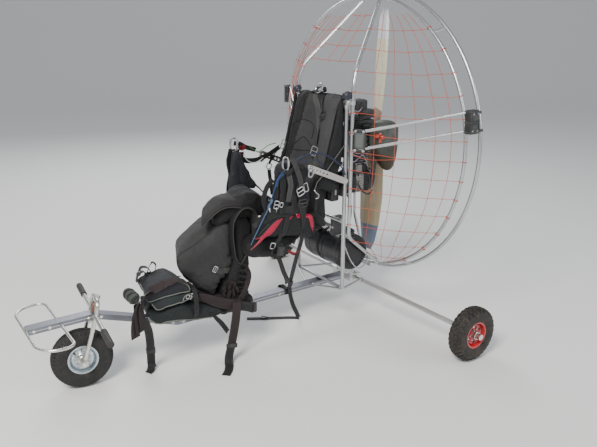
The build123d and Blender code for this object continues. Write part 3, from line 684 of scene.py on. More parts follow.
# =================================================== finish of the kept CAD nodes
KEEP = dict(
    axle_bracket="plate", cage_front_ring="tube", cage_rear_ring="tube", cage_joint_covers="black_matt",
    cage_uprights="tube", centre_strut="tube", chassis_crossbars="tube", chassis_posts="tube", foot_braces="tube",
    # engine_carrier and tank_brackets take the black cover finish because they lie in shade behind the hip pad:
    # painted shade
    engine_block="cast", engine_carrier="black_matt", engine_cylinder="fins", exhaust_muffler="muffler", foot_grips="grip",
    front_axle="zinc", front_bumper="zinc", front_fork="zinc", head_tube="rust", main_boom="boom",
    propeller_hub="orange", rear_axle_beams="arm", reduction_drive="cast", ring_spacers="tube", ring_ties="plate",
    side_struts="tube", spark_plug_cap="black", starter_housing="black_matt", airbox="black_matt",
    strut_brackets="grey", stub_axles="zinc", swing_arms="arm", tank_brackets="black_matt", fuel_tank="tank",
    propeller_blades="prop", front_rim="rimzinc", rear_left_rim="red", rear_right_rim="red",
    front_tyre="tyre", rear_left_tyre="tyre_r", rear_right_tyre="tyre_r",
    seat_back="greyfab", seat_base="blackfab", hip_panels="blackfab", front_bag="greyfab2", flap_bundle="blackfab",
    boom_bag="navy", bag_roll="olive", seat_wings="mesh",
)
for name, o in NODES.items():
    o.data.materials.clear()
    o.data.materials.append(MT[KEEP[name]])
    o.data.polygons.foreach_set("material_index", [0] * len(o.data.polygons))

# ====================================================================== lights
def area(name, loc, target, size, power, colour=(1, 1, 1)):
    ld = bpy.data.lights.new(name, "AREA")
    ld.shape = "RECTANGLE"
    ld.size, ld.size_y = size
    ld.energy = power
    ld.color = colour
    o = link(bpy.data.objects.new(name, ld))
    o.location = loc
    o.rotation_euler = (Vector(target) - Vector(loc)).to_track_quat("-Z", "Y").to_euler()
    return o


def make_stage():
    me = bpy.data.meshes.new("floor")
    # a flat floor that curves up far behind the trike
    ahead, across = Vector((-0.553, -0.833, 0)), Vector((0.833, -0.553, 0))
    prof = [(-16.0, 0.0), (9.0, 0.0)] + [(9.0 + 7.0 * sin(radians(a)), 7.0 - 7.0 * cos(radians(a))) for a in range(6, 91, 6)] + [(16.0, 12.0)]
    co = [tuple(ahead * d + across * e + Vector((0, 0, h))) for d, h in prof for e in (-26.0, 26.0)]
    me.from_pydata(co, [], [(2 * i, 2 * i + 1, 2 * i + 3, 2 * i + 2) for i in range(len(prof) - 1)])
    for f in me.polygons:
        f.use_smooth = True
    o = link(bpy.data.objects.new("floor", me))
    m = Mat("floor_pale")
    m.set(Base_Color=(0.86, 0.86, 0.85), Roughness=0.9)
    o.data.materials.append(m.m)
    w = bpy.data.worlds.new("studio")
    scene.world = w
    w.use_nodes = True
    w.node_tree.nodes["Background"].inputs[0].default_value = (0.86, 0.90, 0.96, 1.0)
    w.node_tree.nodes["Background"].inputs[1].default_value = 0.46
    area("key", (3.4, 2.4, 4.6), (0, 0, 0.6), (1.8, 1.8), 360, (1.0, 0.97, 0.92))
    area("fill", (-3.0, 4.4, 2.6), (0, 0, 0.6), (3.0, 2.4), 70, (0.93, 0.96, 1.0))
    area("rim", (-1.5, -4.2, 3.6), (0, 0, 0.8), (3.0, 1.6), 120)


make_stage()


MT.update(
    backgrey=fabric("seat_back_grey", (0.036, 0.035, 0.037), (0.026, 0.025, 0.0265), dusty=0.18),
    # a paler copy of the seat-back grey for the lit near bolster: painted light
    backpale=fabric("seat_back_grey_painted_lit", (0.044, 0.043, 0.045), (0.033, 0.032, 0.034), dusty=0.18),
    baggrey=fabric("bag_grey", (0.029, 0.0285, 0.029), (0.019, 0.0185, 0.0195), dusty=0.2),
    cuffgrey=fabric("cuff_lining_grey", (0.026, 0.026, 0.024), (0.009, 0.009, 0.009)),
    teal_mid=fabric("grey_teal_nylon", (0.015, 0.021, 0.022), (0.009, 0.014, 0.015)),
    blackbrown=fabric("black_brown_nylon", (0.014, 0.011, 0.011), (0.008, 0.0065, 0.0065)),
    olivepipe=fabric("grey_green_piping", (0.15, 0.16, 0.14), weave=1500.0, wrinkle=0.0),
    darkpipe2=fabric("grey_piping", (0.014, 0.0138, 0.013), weave=1500.0, wrinkle=0.0),
    piping_dim=fabric("grey_brown_piping", (0.034, 0.032, 0.029), weave=1500.0, wrinkle=0.0),
)
def cast_two_tone(name):
    """Cast alloy whose rear half is painted black."""
    m = Mat(name)
    sep = m.n("SeparateXYZ")
    m.l(m.co.outputs["Object"], sep.inputs[0])
    alloy = m.ramp(m.noise(30.0, 6.0), [(0.3, (0.20, 0.185, 0.17)), (0.7, (0.42, 0.40, 0.38))])
    black = m.ramp(m.noise(26.0, 5.0), [(0.3, (0.006, 0.006, 0.007)), (0.7, (0.014, 0.014, 0.015))])
    rear = m.range(sep.outputs["X"], -0.7805, -0.7795, 1.0, 0.0)
    m.set(Base_Color=m.mix(rear, alloy, black), Metallic=m.math("SUBTRACT", 1.0, rear), Roughness=0.46)
    m.bump(m.noise(180.0, 4.0), 0.3, 0.0006)
    return m.m


MT.update(
    casttwo=cast_two_tone("cast_alloy_part_painted"),
    navycap=plastic("navy_cap", (0.012, 0.014, 0.026), 0.45),
    lilacline=fabric("lilac_cord", (0.34, 0.26, 0.34), (0.22, 0.16, 0.22), weave=1800.0, wrinkle=0.0, dusty=0.1),
    navyblack=fabric("navy_black_nylon", (0.0105, 0.0125, 0.0180), (0.0060, 0.0070, 0.0095)),
    whiteline=fabric("white_line_cord", (0.75, 0.75, 0.72), weave=1800.0, wrinkle=0.0, dusty=0.1),
    redcloth=fabric("red_cloth", (0.34, 0.018, 0.02), (0.18, 0.010, 0.012), weave=900.0, dusty=0.1),
    cable_blue=fabric("dark_blue_cable", (0.010, 0.018, 0.060), weave=2400.0, wrinkle=0.0, dusty=0.05, rough=0.5),
    web_green=webbing("grey_green_webbing", (0.060, 0.068, 0.052)),
)
NODES["engine_block"].data.materials[0] = MT["casttwo"]
MT["tank_skin"] = rubber("tank_skin", (0.011, 0.011, 0.014), muddy=0.05, rough=0.34)
NODES["fuel_tank"].data.materials[0] = MT["tank_skin"]


# ================================================================ soft goods
import numpy as np
from mathutils.bvhtree import BVHTree


def get_co(o):
    a = np.empty(len(o.data.vertices) * 3, dtype=np.float32)
    o.data.vertices.foreach_get("co", a)
    return a.reshape(-1, 3).astype(np.float64)


def set_co(o, co):
    o.data.vertices.foreach_set("co", co.astype(np.float32).ravel())
    o.data.update()


def get_no(o):
    a = np.empty(len(o.data.vertices) * 3, dtype=np.float32)
    o.data.vertex_normals.foreach_get("vector", a)
    return a.reshape(-1, 3).astype(np.float64)


def seg_dist(P, poly):
    best = np.full(len(P), 1e9)
    for a, b in zip(poly[:-1], poly[1:]):
        a, b = np.array(a, dtype=float), np.array(b, dtype=float)
        ab = b - a
        t = np.clip(((P - a) @ ab) / max(ab @ ab, 1e-12), 0, 1)
        best = np.minimum(best, np.linalg.norm(P - (a + t[:, None] * ab), axis=1))
    return best


def surface(*objs):
    vs, fs = [], []
    for o in objs:
        base = len(vs)
        vs += [v.co.copy() for v in o.data.vertices]
        fs += [[base + i for i in p.vertices] for p in o.data.polygons]
    return BVHTree.FromPolygons(vs, fs)


def on_surface(tree, p, lift=0.0, away=None):
    """Nearest point of a surface, lifted along its outward normal."""
    loc, nor, _, _ = tree.find_nearest(Vector(p))
    if away is not None and nor.dot(Vector(away)) < 0:
        nor = -nor
    return loc + nor * lift, nor


def prism(name, profile, y0, y1, bevel, seg=3, far=None):
    """A slab of side profile (back, z) between two planes, with rounded edges; far is the outline at y0."""
    bm = bmesh.new()
    a = [bm.verts.new(A(b, y0, z)) for b, z in (far or profile)]
    c = [bm.verts.new(A(b, y1, z)) for b, z in profile]
    bm.faces.new(a)
    bm.faces.new(c[::-1])
    n = len(a)
    for i in range(n):
        bm.faces.new((a[i], c[i], c[(i + 1) % n], a[(i + 1) % n]))
    bmesh.ops.recalc_face_normals(bm, faces=bm.faces)
    bmesh.ops.bevel(bm, geom=list(bm.edges), offset=bevel, segments=seg, affect="EDGES", profile=0.5, clamp_overlap=True)
    me = bpy.data.meshes.new(name)
    bm.to_mesh(me)
    bm.free()
    return link(bpy.data.objects.new(name, me))


PADS = []


def pad(o, cap, voxel=0.008, shrink=0.006, smooth=5, pressure=4.0, shape=None):
    """Remesh a slab evenly and queue it for the cloth run."""
    m = o.modifiers.new("r", "REMESH")
    m.mode = "VOXEL"
    m.voxel_size = voxel
    apply_mods(o)
    s = o.modifiers.new("s", "SMOOTH")
    s.factor, s.iterations = 0.5, smooth
    apply_mods(o)
    co = get_co(o) - get_no(o) * shrink
    if shape:
        co = shape(co, get_no(o))
    set_co(o, co)
    PADS.append((o, cap, pressure))
    return o


def run_cloth(frames=20):
    """Inflate every queued pad at once, then limit how far each point went."""
    starts = [get_co(o) for o, _, _ in PADS]
    for o, _, pressure in PADS:
        c = o.modifiers.new("cloth", "CLOTH")
        st = c.settings
        st.quality = 5
        st.mass = 0.3
        st.tension_stiffness = st.compression_stiffness = 12
        st.shear_stiffness = 6
        st.bending_stiffness = 0.6
        st.use_pressure = True
        st.uniform_pressure_force = pressure
        st.effector_weights.gravity = 0
        c.collision_settings.use_collision = False
        c.point_cache.frame_start, c.point_cache.frame_end = 1, frames
    for f in range(1, frames + 1):
        scene.frame_set(f)
    done = []
    dg = bpy.context.evaluated_depsgraph_get()
    for o, _, _ in PADS:
        done.append(bpy.data.meshes.new_from_object(o.evaluated_get(dg), depsgraph=dg))
    for (o, _, _), me in zip(PADS, done):
        o.modifiers.clear()
        o.data = me
    scene.frame_set(1)
    for (o, cap, _), start in zip(PADS, starts):
        now = get_co(o)
        d = now - start
        L = np.linalg.norm(d, axis=1)
        k = np.where(L > 1e-9, cap * np.tanh(L / cap) / np.maximum(L, 1e-9), 0.0)
        set_co(o, start + d * k[:, None])
        s = o.modifiers.new("sub", "SUBSURF")
        s.levels = s.render_levels = 1
        apply_mods(o)
    PADS.clear()


def folds(o, amp, scale, seed=0.0, ridge=2.0, mask=None, sharp=True):
    """Creases: ridged noise along the normals, stretched by scale on each axis."""
    co, no = get_co(o), get_no(o)
    out = np.zeros(len(co))
    sx, sy, sz = scale
    for i, (x, y, z) in enumerate(co):
        wx = noise.noise((x * 6 + seed, y * 6, z * 6)) * 0.35
        n = noise.noise((x * sx + wx + seed, y * sy + wx, z * sz + wx - seed))
        out[i] = ((1 - abs(n) * ridge) if sharp else n)
    if mask is not None:
        out = out * mask(co, no)
    set_co(o, co + no * (out * amp)[:, None])


def groove(o, poly, depth=0.004, width=0.006, facing=None):
    co, no = get_co(o), get_no(o)
    d = seg_dist(co, poly)
    g = np.exp(-(d / width) ** 2) * depth
    if facing is not None:
        g = g * (no @ np.array(facing, dtype=float) > 0.15)
    set_co(o, co - no * g[:, None])


def paint(o, mats, fn):
    """Material of each face from its middle and normal."""
    me = o.data
    me.materials.clear()
    for m in mats:
        me.materials.append(MT[m])
    n = len(me.polygons)
    c = np.empty(n * 3, dtype=np.float32)
    me.polygons.foreach_get("center", c)
    nn = np.empty(n * 3, dtype=np.float32)
    me.polygons.foreach_get("normal", nn)
    idx = fn(c.reshape(-1, 3), nn.reshape(-1, 3))
    me.polygons.foreach_set("material_index", np.asarray(idx, dtype=np.int32))
    me.polygons.foreach_set("use_smooth", [True] * n)
    me.update()


def leaf(b, tree, line, widths, lift, away, across=9, per=8):
    """A domed patch of satin along a line on a surface."""
    path = catmull(line, per)
    n = len(path)
    rows = []
    for i, p in enumerate(path):
        t = (path[min(i + 1, n - 1)] - path[max(i - 1, 0)]).normalized()
        s = i / (n - 1) * (len(widths) - 1)
        k = min(int(s), len(widths) - 2)
        w = widths[k] * (1 - (s - k)) + widths[k + 1] * (s - k)
        q, nor = on_surface(tree, p, 0, away)
        side = t.cross(nor).normalized()
        row = []
        for j in range(across):
            u = -1 + 2 * j / (across - 1)
            pp, nn = on_surface(tree, q + side * (u * w / 2), 0.0, away)
            row.append(pp + nn * (0.0012 + lift * sqrt(max(0.0, 1 - u * u)) * min(1.0, w / 0.02)))
        rows.append(row)
    b.grid(rows)
    back = [[p - Vector(away).normalized() * 0.003 for p in r] for r in rows]
    b.grid(back, flip=True)
    rim = rows[0] + [r[-1] for r in rows[1:]] + rows[-1][-2::-1] + [r[0] for r in rows[-2:0:-1]]
    low = back[0] + [r[-1] for r in back[1:]] + back[-1][-2::-1] + [r[0] for r in back[-2:0:-1]]
    b.grid([rim, low], close_v=True)


def strap_on(b, tree, line, width, thick=0.002, lift=0.001, away=None, per=8, uvoff=0.0):
    """Webbing that lies on a surface."""
    pts, sides = [], []
    path = catmull(line, per)
    n = len(path)
    for i, p in enumerate(path):
        t = (path[min(i + 1, n - 1)] - path[max(i - 1, 0)]).normalized()
        q, nor = on_surface(tree, p, lift + thick / 2, away)
        pts.append(q)
        sides.append(t.cross(nor).normalized())
    for k in range(1, n):
        if sides[k].dot(sides[k - 1]) < 0:
            sides[k] = -sides[k]
    b.strap(pts, sides, width, thick, 1, uvoff)


def piping_on(b, tree, line, r=0.003, away=None, per=8, closed=False):
    pts = []
    for p in catmull(line, per, closed):
        q, _ = on_surface(tree, p, r * 0.5, away)
        pts.append(q)
    b.tube(pts, r, 8, closed)


def buckle(b, c, along, nor, w, h, bar=0.003, mid=True):
    """A ladder or slot buckle: a rounded frame of round bar with a middle bar."""
    c, t, n = Vector(c), Vector(along).normalized(), Vector(nor).normalized()
    s = t.cross(n).normalized()
    n = s.cross(t)
    corners = [c + s * (w / 2) * a + t * (h / 2) * e for a, e in ((-1, -1), (1, -1), (1, 1), (-1, 1))]
    loop = []
    for i in range(4):
        p, q, r = corners[i - 1], corners[i], corners[(i + 1) % 4]
        cut = min(w, h) * 0.22
        a, e = q + (p - q).normalized() * cut, q + (r - q).normalized() * cut
        for k in range(5):
            u = k / 4
            loop.append(a * (1 - u) ** 2 + q * 2 * u * (1 - u) + e * u * u)
    b.tube(loop, bar, 8, closed=True)
    if mid:
        b.tube([c - s * w / 2, c + s * w / 2], bar * 0.9, 8)


def carabiner(b, top, bottom, nor, w=0.042, bar=0.0055):
    """An oval steel ring with a screw gate."""
    top, bottom = Vector(top), Vector(bottom)
    t = (top - bottom).normalized()
    n = Vector(nor).normalized()
    s = t.cross(n).normalized()
    h = (top - bottom).length / 2
    c = (top + bottom) / 2
    loop = []
    for k in range(28):
        a = 2 * pi * k / 28
        x, z = cos(a), sin(a)
        fx = (abs(x) ** 0.62) * (1 if x > 0 else -1)
        fz = (abs(z) ** 0.9) * (1 if z > 0 else -1)
        loop.append(c + s * fx * w / 2 + t * fz * h)
    b.tube(loop, bar, 10, closed=True)
    g = c + s * (w / 2)
    b.tube([g - t * h * 0.42, g + t * h * 0.42], bar * 1.5, 12)


GREEN_DIR = (0.957, 0.0, 0.29)


# ---- seat back
def seat_back_shape(co, no):
    front = np.clip((no @ np.array(GREEN_DIR) - 0.25) / 0.4, 0, 1)
    y = co[:, 1]
    z = co[:, 2]
    up = np.clip((z - 0.85) / 0.35, 0, 1)
    inner = 0.108 - 0.045 * up
    centre = 1 / (1 + np.exp((np.abs(y + 0.012) - inner) / 0.006))
    co = co - np.array(GREEN_DIR) * (front * centre * 0.024)[:, None]
    # the top edge is rounded at both ends and sags a little in the middle
    top = np.clip((z - 1.10) / 0.075, 0, 1)
    co[:, 2] -= top * (0.004 * np.clip(np.abs(y) / 0.175, 0, 1) ** 4 * 2.2 + 0.006 * np.exp(-((y + 0.02) / 0.06) ** 2))
    return co


o_back = prism("seat_back_pad", [(1262, 1193), (1245, 1172), (1164, 880), (1126, 760), (1098, 532), (1158, 528), (1182, 590), (1184, 700), (1262, 960), (1264, 1075), (1292, 1172), (1288, 1193)], -177, 177, 0.018)
pad(o_back, 0.009, 0.0075, 0.005, 4, 3.0, seat_back_shape)

o_base = prism("seat_base_pad", [(1092, 543), (722, 558), (714, 500), (742, 468), (895, 444), (998, 490)], -182, 182, 0.03)
pad(o_base, 0.014, 0.0095, 0.008, 4)

o_hips = []
for side in (1, -1):
    o = prism("hip_pad_" + ("left" if side > 0 else "right"), [(1088, 640), (800, 698), (738, 642), (736, 576), (1086, 522)], *sorted((188 * side, 210 * side)), 0.009)
    pad(o, 0.008, 0.0065, 0.002, 3)
    o_hips.append(o)

# ---- side wings between the seat back and the posts
o_wings = []
for side in (1, -1):
    o = prism("seat_wing_" + ("left" if side > 0 else "right"), [(1114, 748), (1214, 712), (1230, 792), (1262, 862), (1262, 1152), (1246, 1172), (1162, 876), (1127, 792)], *sorted((178.5 * side, 192.5 * side)), 0.0055)
    pad(o, 0.0035, 0.0075, 0.0015, 2, 2.0)
    o_wings.append(o)

# ---- large bag leaning on the boom
BAG_OUT = [(393, 540), (472, 580), (551, 617), (620, 646), (690, 654), (704, 560), (704, 452), (664, 382), (588, 292), (508, 352), (405, 462)]
o_bag = prism("front_bag_shell", BAG_OUT, -106, 120, 0.036, 4, [(b + 100 * (706 - b) / 311, z) for b, z in BAG_OUT])
pad(o_bag, 0.016, 0.0085, 0.007, 6)

# ---- black bundle and folded flaps behind the bag
o_bundle = prism("flap_mass", [(585, 634), (602, 684), (655, 716), (715, 736), (765, 762), (818, 762), (884, 704), (872, 640), (724, 636)], -58, 108, 0.024, 4,
                 [(660, 640), (688, 688), (722, 716), (760, 740), (790, 762), (836, 770), (900, 712), (900, 648), (775, 640)])
pad(o_bundle, 0.014, 0.009, 0.006, 6)

# ---- dark folds that hang behind the bag
o_tail = prism("bag_rear_folds", [(700, 640), (722, 672), (778, 650), (800, 590), (788, 500), (790, 420), (780, 306), (716, 282), (622, 292), (640, 350), (690, 470)], 20, 106, 0.022, 4)
pad(o_tail, 0.012, 0.0085, 0.006, 5)


# ---- boom cushions
def lean(poly):
    return [(b + 42 * max(0.0, (446 - b) / 210), z) for b, z in poly]


o_ca = prism("boom_cushion_top", [(238, 398), (250, 414), (330, 432), (398, 440), (452, 404), (466, 368), (430, 368), (330, 366), (262, 362)], -57, 146, 0.017, 3, lean([(238, 398), (250, 414), (330, 432), (398, 440), (452, 404), (466, 368), (430, 368), (330, 366), (262, 362)]))
pad(o_ca, 0.010, 0.008, 0.004, 4)
o_cb = prism("boom_cushion_middle", [(262, 366), (290, 318), (420, 324), (470, 342), (500, 350), (470, 368), (330, 372)], -57, 148, 0.014, 3, lean([(262, 366), (290, 318), (420, 324), (470, 342), (500, 350), (470, 368), (330, 372)]))
pad(o_cb, 0.008, 0.008, 0.004, 4)
o_cc = prism("boom_cushion_bottom", [(240, 340), (242, 292), (283, 256), (330, 246), (460, 222), (560, 210), (640, 214), (600, 262), (500, 292), (420, 316), (300, 314)], -57, 147, 0.016, 3, lean([(240, 340), (242, 292), (283, 256), (330, 246), (460, 222), (560, 210), (640, 214), (600, 262), (500, 292), (420, 316), (300, 314)]))
pad(o_cc, 0.010, 0.0085, 0.004, 4)
o_cd = prism("boom_folded_flap", [(440, 338), (490, 346), (560, 300), (640, 292), (720, 280), (792, 260), (796, 222), (720, 202), (620, 204), (590, 262), (500, 296)], -50, 128, 0.018)
pad(o_cd, 0.012, 0.0085, 0.005, 5)

run_cloth()

# creases, seams and sewn channels
folds(o_back, 0.0016, (14, 26, 5), 3.1, 1.6, lambda c, n: (np.abs(c[:, 1]) > 0.1) * 1.0)
HEX = [
    [(-0.476, -0.113, 1.018), (-0.483, -0.033, 1.042), (-0.478, 0.031, 1.026)],
    [(-0.460, -0.108, 0.966), (-0.446, -0.012, 0.919), (-0.452, 0.057, 0.939)],
    [(-0.434, -0.110, 0.890), (-0.446, -0.012, 0.919), (-0.441, 0.039, 0.903)],
    [(-0.483, -0.033, 1.042), (-0.510, -0.033, 1.130)],
    [(-0.446, -0.012, 0.919), (-0.425, -0.010, 0.845)],
]
for line in HEX:
    groove(o_back, line, 0.0035, 0.0045, GREEN_DIR)
for y in (-0.150, 0.150):
    groove(o_back, [(-0.523, y, 1.175), (-0.434, y, 0.88), (-0.396, y, 0.76), (-0.368, y, 0.55)], 0.003, 0.004, GREEN_DIR)
groove(o_back, [(-0.523, -0.17, 1.165), (-0.523, 0.17, 1.165)], 0.004, 0.006, GREEN_DIR)


def back_paint(c, n):
    front = n @ np.array(GREEN_DIR)
    y, z = c[:, 1], c[:, 2]
    up = np.clip((z - 0.85) / 0.35, 0, 1)
    inner = 0.106 - 0.043 * up
    idx = np.full(len(c), 1)                                   # black sides and back; the far bolster's front stays black too, as painted shade
    idx[(front > 0.35) & (y > inner + 0.004)] = 2              # near bolster in a paler copy of the grey, as painted light
    idx[(front > 0.2) & (y > -inner - 0.010) & (y < inner)] = 0  # centre panel
    idx[(z > 1.163) & (front < 0.75)] = 1
    return idx


paint(o_back, ("backgrey", "blackfab", "backpale"), back_paint)
ride(o_back, "frame", "grey_fabric", "seat_back")
T_BACK = surface(o_back)

for k, o in enumerate(o_wings):
    folds(o, 0.0022, (16, 8, 12), 6.0 + k, 1.5)
    paint(o, ("mesh",), lambda c, n: np.zeros(len(c)))
    ride(o, "frame", "black_fabric", "seat_wings")
T_WINGS = [surface(o) for o in o_wings]

folds(o_base, 0.004, (7, 16, 9), 8.0, 1.8)
paint(o_base, ("blackfab",), lambda c, n: np.zeros(len(c)))
ride(o_base, "frame", "black_fabric", "seat_base")
T_BASE = surface(o_base)

for k, o in enumerate(o_hips):
    folds(o, 0.0022, (10, 5, 16), 4.0 + k, 1.8)
    s = 1 if k == 0 else -1
    groove(o, [(-0.02, 0.2 * s, 0.61), (-0.11, 0.2 * s, 0.665), (-0.20, 0.2 * s, 0.655), (-0.33, 0.2 * s, 0.61)], 0.003, 0.004, (0, s, 0))
    groove(o, [(-0.01, 0.2 * s, 0.575), (-0.14, 0.2 * s, 0.565), (-0.33, 0.2 * s, 0.545)], 0.003, 0.004, (0, s, 0))
    paint(o, ("mesh",), lambda c, n: np.zeros(len(c)))
    ride(o, "frame", "black_fabric", "hip_panels")
T_HIPS = [surface(o) for o in o_hips]

# the bag: soft dents on the near face, a drawn mouth low at the back
folds(o_bag, 0.0045, (9, 5, 6), 1.7, 1.3, lambda c, n: 0.35 + 0.65 * (c[:, 2] < 0.42))
folds(o_bag, 0.0016, (30, 14, 26), 5.0, 1.6)
MOUTH = Vector((0.066, 0.118, 0.338))
co, no = get_co(o_bag), get_no(o_bag)
d = np.linalg.norm((co - np.array(MOUTH)) * np.array([1.0, 0.9, 1.25]), axis=1)
ang = np.arctan2(co[:, 2] - MOUTH.z, co[:, 0] - MOUTH.x)
pull = np.exp(-(d / 0.052) ** 2)
pleat = np.exp(-((d - 0.062) / 0.030) ** 2) * np.sin(ang * 13 + 0.6 * np.sin(ang * 3)) * 0.0042
set_co(o_bag, co - np.array([0, 1, 0]) * (pull * 0.050)[:, None] + no * pleat[:, None])


def bag_paint(c, n):
    d = np.linalg.norm((c - np.array(MOUTH)) * np.array([1.0, 0.35, 1.25]), axis=1)
    idx = np.zeros(len(c))
    idx[(d < 0.036)] = 1
    idx[(n[:, 0] > 0.55) & (c[:, 0] > 0.315)] = 2
    idx[(c[:, 1] < -0.085)] = 1
    return idx


groove(o_bag, [(0.322, -0.08, 0.56), (0.326, 0.02, 0.55), (0.328, 0.10, 0.545)], 0.003, 0.005)
groove(o_bag, [(0.325, 0.118, 0.49), (0.236, 0.122, 0.40), (0.160, 0.122, 0.345)], 0.0025, 0.0045)
paint(o_bag, ("baggrey", "blackfab", "teal"), bag_paint)
ride(o_bag, "frame", "grey_fabric", "front_bag")
T_BAG = surface(o_bag)

folds(o_bundle, 0.010, (9, 12, 7), 2.2, 1.5)
folds(o_bundle, 0.003, (24, 20, 22), 9.2, 1.6)
paint(o_bundle, ("blackfab",), lambda c, n: np.zeros(len(c)))
ride(o_bundle, "frame", "black_fabric", "flap_bundle")
T_BUNDLE = surface(o_bundle)

folds(o_tail, 0.011, (12, 7, 6), 3.7, 1.6)
folds(o_tail, 0.0035, (30, 16, 18), 1.9, 1.6)
paint(o_tail, ("blackfab",), lambda c, n: np.zeros(len(c)))
ride(o_tail, "frame", "black_fabric")
T_TAIL = surface(o_tail)

for o, mat, seed, amp in ((o_ca, "navy", 1.0, 0.0028), (o_cb, "teal_mid", 2.0, 0.0022), (o_cc, "teal", 3.0, 0.0026), (o_cd, "blackbrown", 4.0, 0.0075)):
    folds(o, amp, (9, 7, 14), seed, 1.5)
    if o is o_cd:
        folds(o, 0.003, (26, 16, 30), seed + 3, 1.6)
    if o is o_ca:
        groove(o, [(0.478, -0.13, 0.428), (0.478, 0.14, 0.428)], 0.003, 0.005)
        groove(o, [(0.33, -0.13, 0.44), (0.33, 0.14, 0.44)], 0.004, 0.007)
    paint(o, (mat,), lambda c, n: np.zeros(len(c)))
    ride(o, "frame", "navy_fabric", "boom_bag")
T_CA, T_CB, T_CC, T_CD = surface(o_ca), surface(o_cb), surface(o_cc), surface(o_cd)
T_CUSH = surface(o_ca, o_cb, o_cc, o_cd)

# ---- piping along the cushion and bag edges
b = Build()
for tree, line in (
    (T_CA, [(0.486, 0.134, 0.404), (0.470, 0.140, 0.418), (0.40, 0.143, 0.434), (0.335, 0.144, 0.442), (0.285, 0.142, 0.412), (0.272, 0.14, 0.382)]),
    (T_CA, [(0.470, 0.142, 0.372), (0.40, 0.146, 0.366), (0.30, 0.146, 0.366), (0.272, 0.142, 0.372)]),
    (T_CA, [(0.490, 0.136, 0.40), (0.472, 0.045, 0.402), (0.452, -0.048, 0.402)]),
    (T_CA, [(0.472, 0.140, 0.368), (0.454, 0.045, 0.366), (0.434, -0.05, 0.368)]),
    (T_CB, [(0.462, 0.142, 0.362), (0.440, 0.147, 0.322), (0.36, 0.148, 0.320), (0.30, 0.148, 0.330), (0.250, 0.146, 0.348), (0.240, 0.142, 0.362)]),
    (T_CB, [(0.440, 0.144, 0.320), (0.424, 0.045, 0.320), (0.408, -0.05, 0.320)]),
    (T_CC, [(0.482, 0.140, 0.300), (0.446, 0.146, 0.258), (0.37, 0.147, 0.242), (0.27, 0.147, 0.224), (0.17, 0.146, 0.212)]),
    (T_CC, [(0.446, 0.144, 0.256), (0.430, 0.045, 0.256), (0.412, -0.05, 0.256)]),
):
    piping_on(b, tree, line, 0.0026)
o = b.obj("cushion_piping", "olivepipe")
ride(o, "frame", "olive_fabric")

b = Build()
for tree, line in (
    (T_CD, [(0.262, 0.124, 0.350), (0.205, 0.128, 0.300), (0.14, 0.128, 0.262)]),
    (T_CD, [(0.285, 0.126, 0.312), (0.228, 0.130, 0.268), (0.172, 0.128, 0.214)]),
    (T_BAG, [(0.337, 0.112, 0.545), (0.258, 0.118, 0.584), (0.179, 0.118, 0.620), (0.11, 0.117, 0.650), (0.046, 0.115, 0.655)]),
    (T_BAG, [(0.340, 0.112, 0.54), (0.330, 0.116, 0.468), (0.232, 0.119, 0.375), (0.158, 0.118, 0.326)]),
):
    piping_on(b, tree, line, 0.0019)
o = b.obj("bag_piping", "darkpipe2")
ride(o, "frame", "grey_fabric")

# stitched seams of the seat back's padding
b = Build()
for line in (
    [(-0.463, -0.160, 0.982), (-0.480, -0.090, 1.039), (-0.4745, 0.007, 1.022), (-0.456, 0.013, 0.962)],
    [(-0.434, -0.150, 0.885), (-0.438, -0.033, 0.899), (-0.443, 0.070, 0.915)],
    [(-0.438, -0.112, 0.899), (-0.456, -0.059, 0.961), (-0.444, 0.034, 0.921)],
    [(-0.480, -0.090, 1.039), (-0.496, -0.094, 1.093), (-0.513, -0.095, 1.148)],
    [(-0.414, -0.140, 0.820), (-0.414, 0.0, 0.822), (-0.414, 0.075, 0.822)],
):
    piping_on(b, T_BACK, line, 0.0019, (0.957, 0, 0.29), 10)
o = b.obj("seat_padding_seams", "mesh")
ride(o, "frame", "grey_fabric")

# ---- rolled mat under the front of the cushions
b = Build()
R = 0.0248
ROLL = A(219, 52, 378)
rows = []
N, L = 40, 24
for i in range(L + 1):
    u = i / L
    y = -0.045 + 0.090 * u
    e = 1.0 - 0.16 * exp(-((u) / 0.05) ** 2) - 0.16 * exp(-((1 - u) / 0.05) ** 2)
    row = []
    for k in range(N):
        a = 2 * pi * k / N
        r = R * e * (1 + 0.05 * noise.noise((cos(a) * 2, sin(a) * 2, y * 18)) + 0.03 * sin(3 * a + y * 30))
        row.append(ROLL + V(cos(a) * r, y, sin(a) * r))
    rows.append(row)
b.grid(rows, close_v=True, flip=True)
for end in (0, L):
    c = V(ROLL.x, rows[end][0].y, ROLL.z)
    sgn = -1 if end == 0 else 1
    sp = []
    for q in range(5):
        k = 1 - q * 0.2
        sp.append([c + (p - c) * k + V(0, sgn * (0.0035 * (q % 2)), 0) for p in rows[end]])
    b.grid(sp, close_v=True, flip=(end == 0))
    b.cap(sp[-1], flip=(end == 0), flat=False)
o = b.obj("rolled_mat", "olive", autosmooth=60)
ride(o, "frame", "olive_fabric", "bag_roll")
T_ROLL = surface(o)
b = Build()
for y in (-0.018, 0.022):
    ring = [ROLL + V(cos(a) * (R + 0.0018), y, sin(a) * (R + 0.0018)) for a in [2 * pi * k / 24 for k in range(25)]]
    b.strap(ring, (0, 1, 0), 0.016, 0.0018, 1)
o = b.obj("roll_ties", "web_black")
ride(o, "frame", "black_fabric")

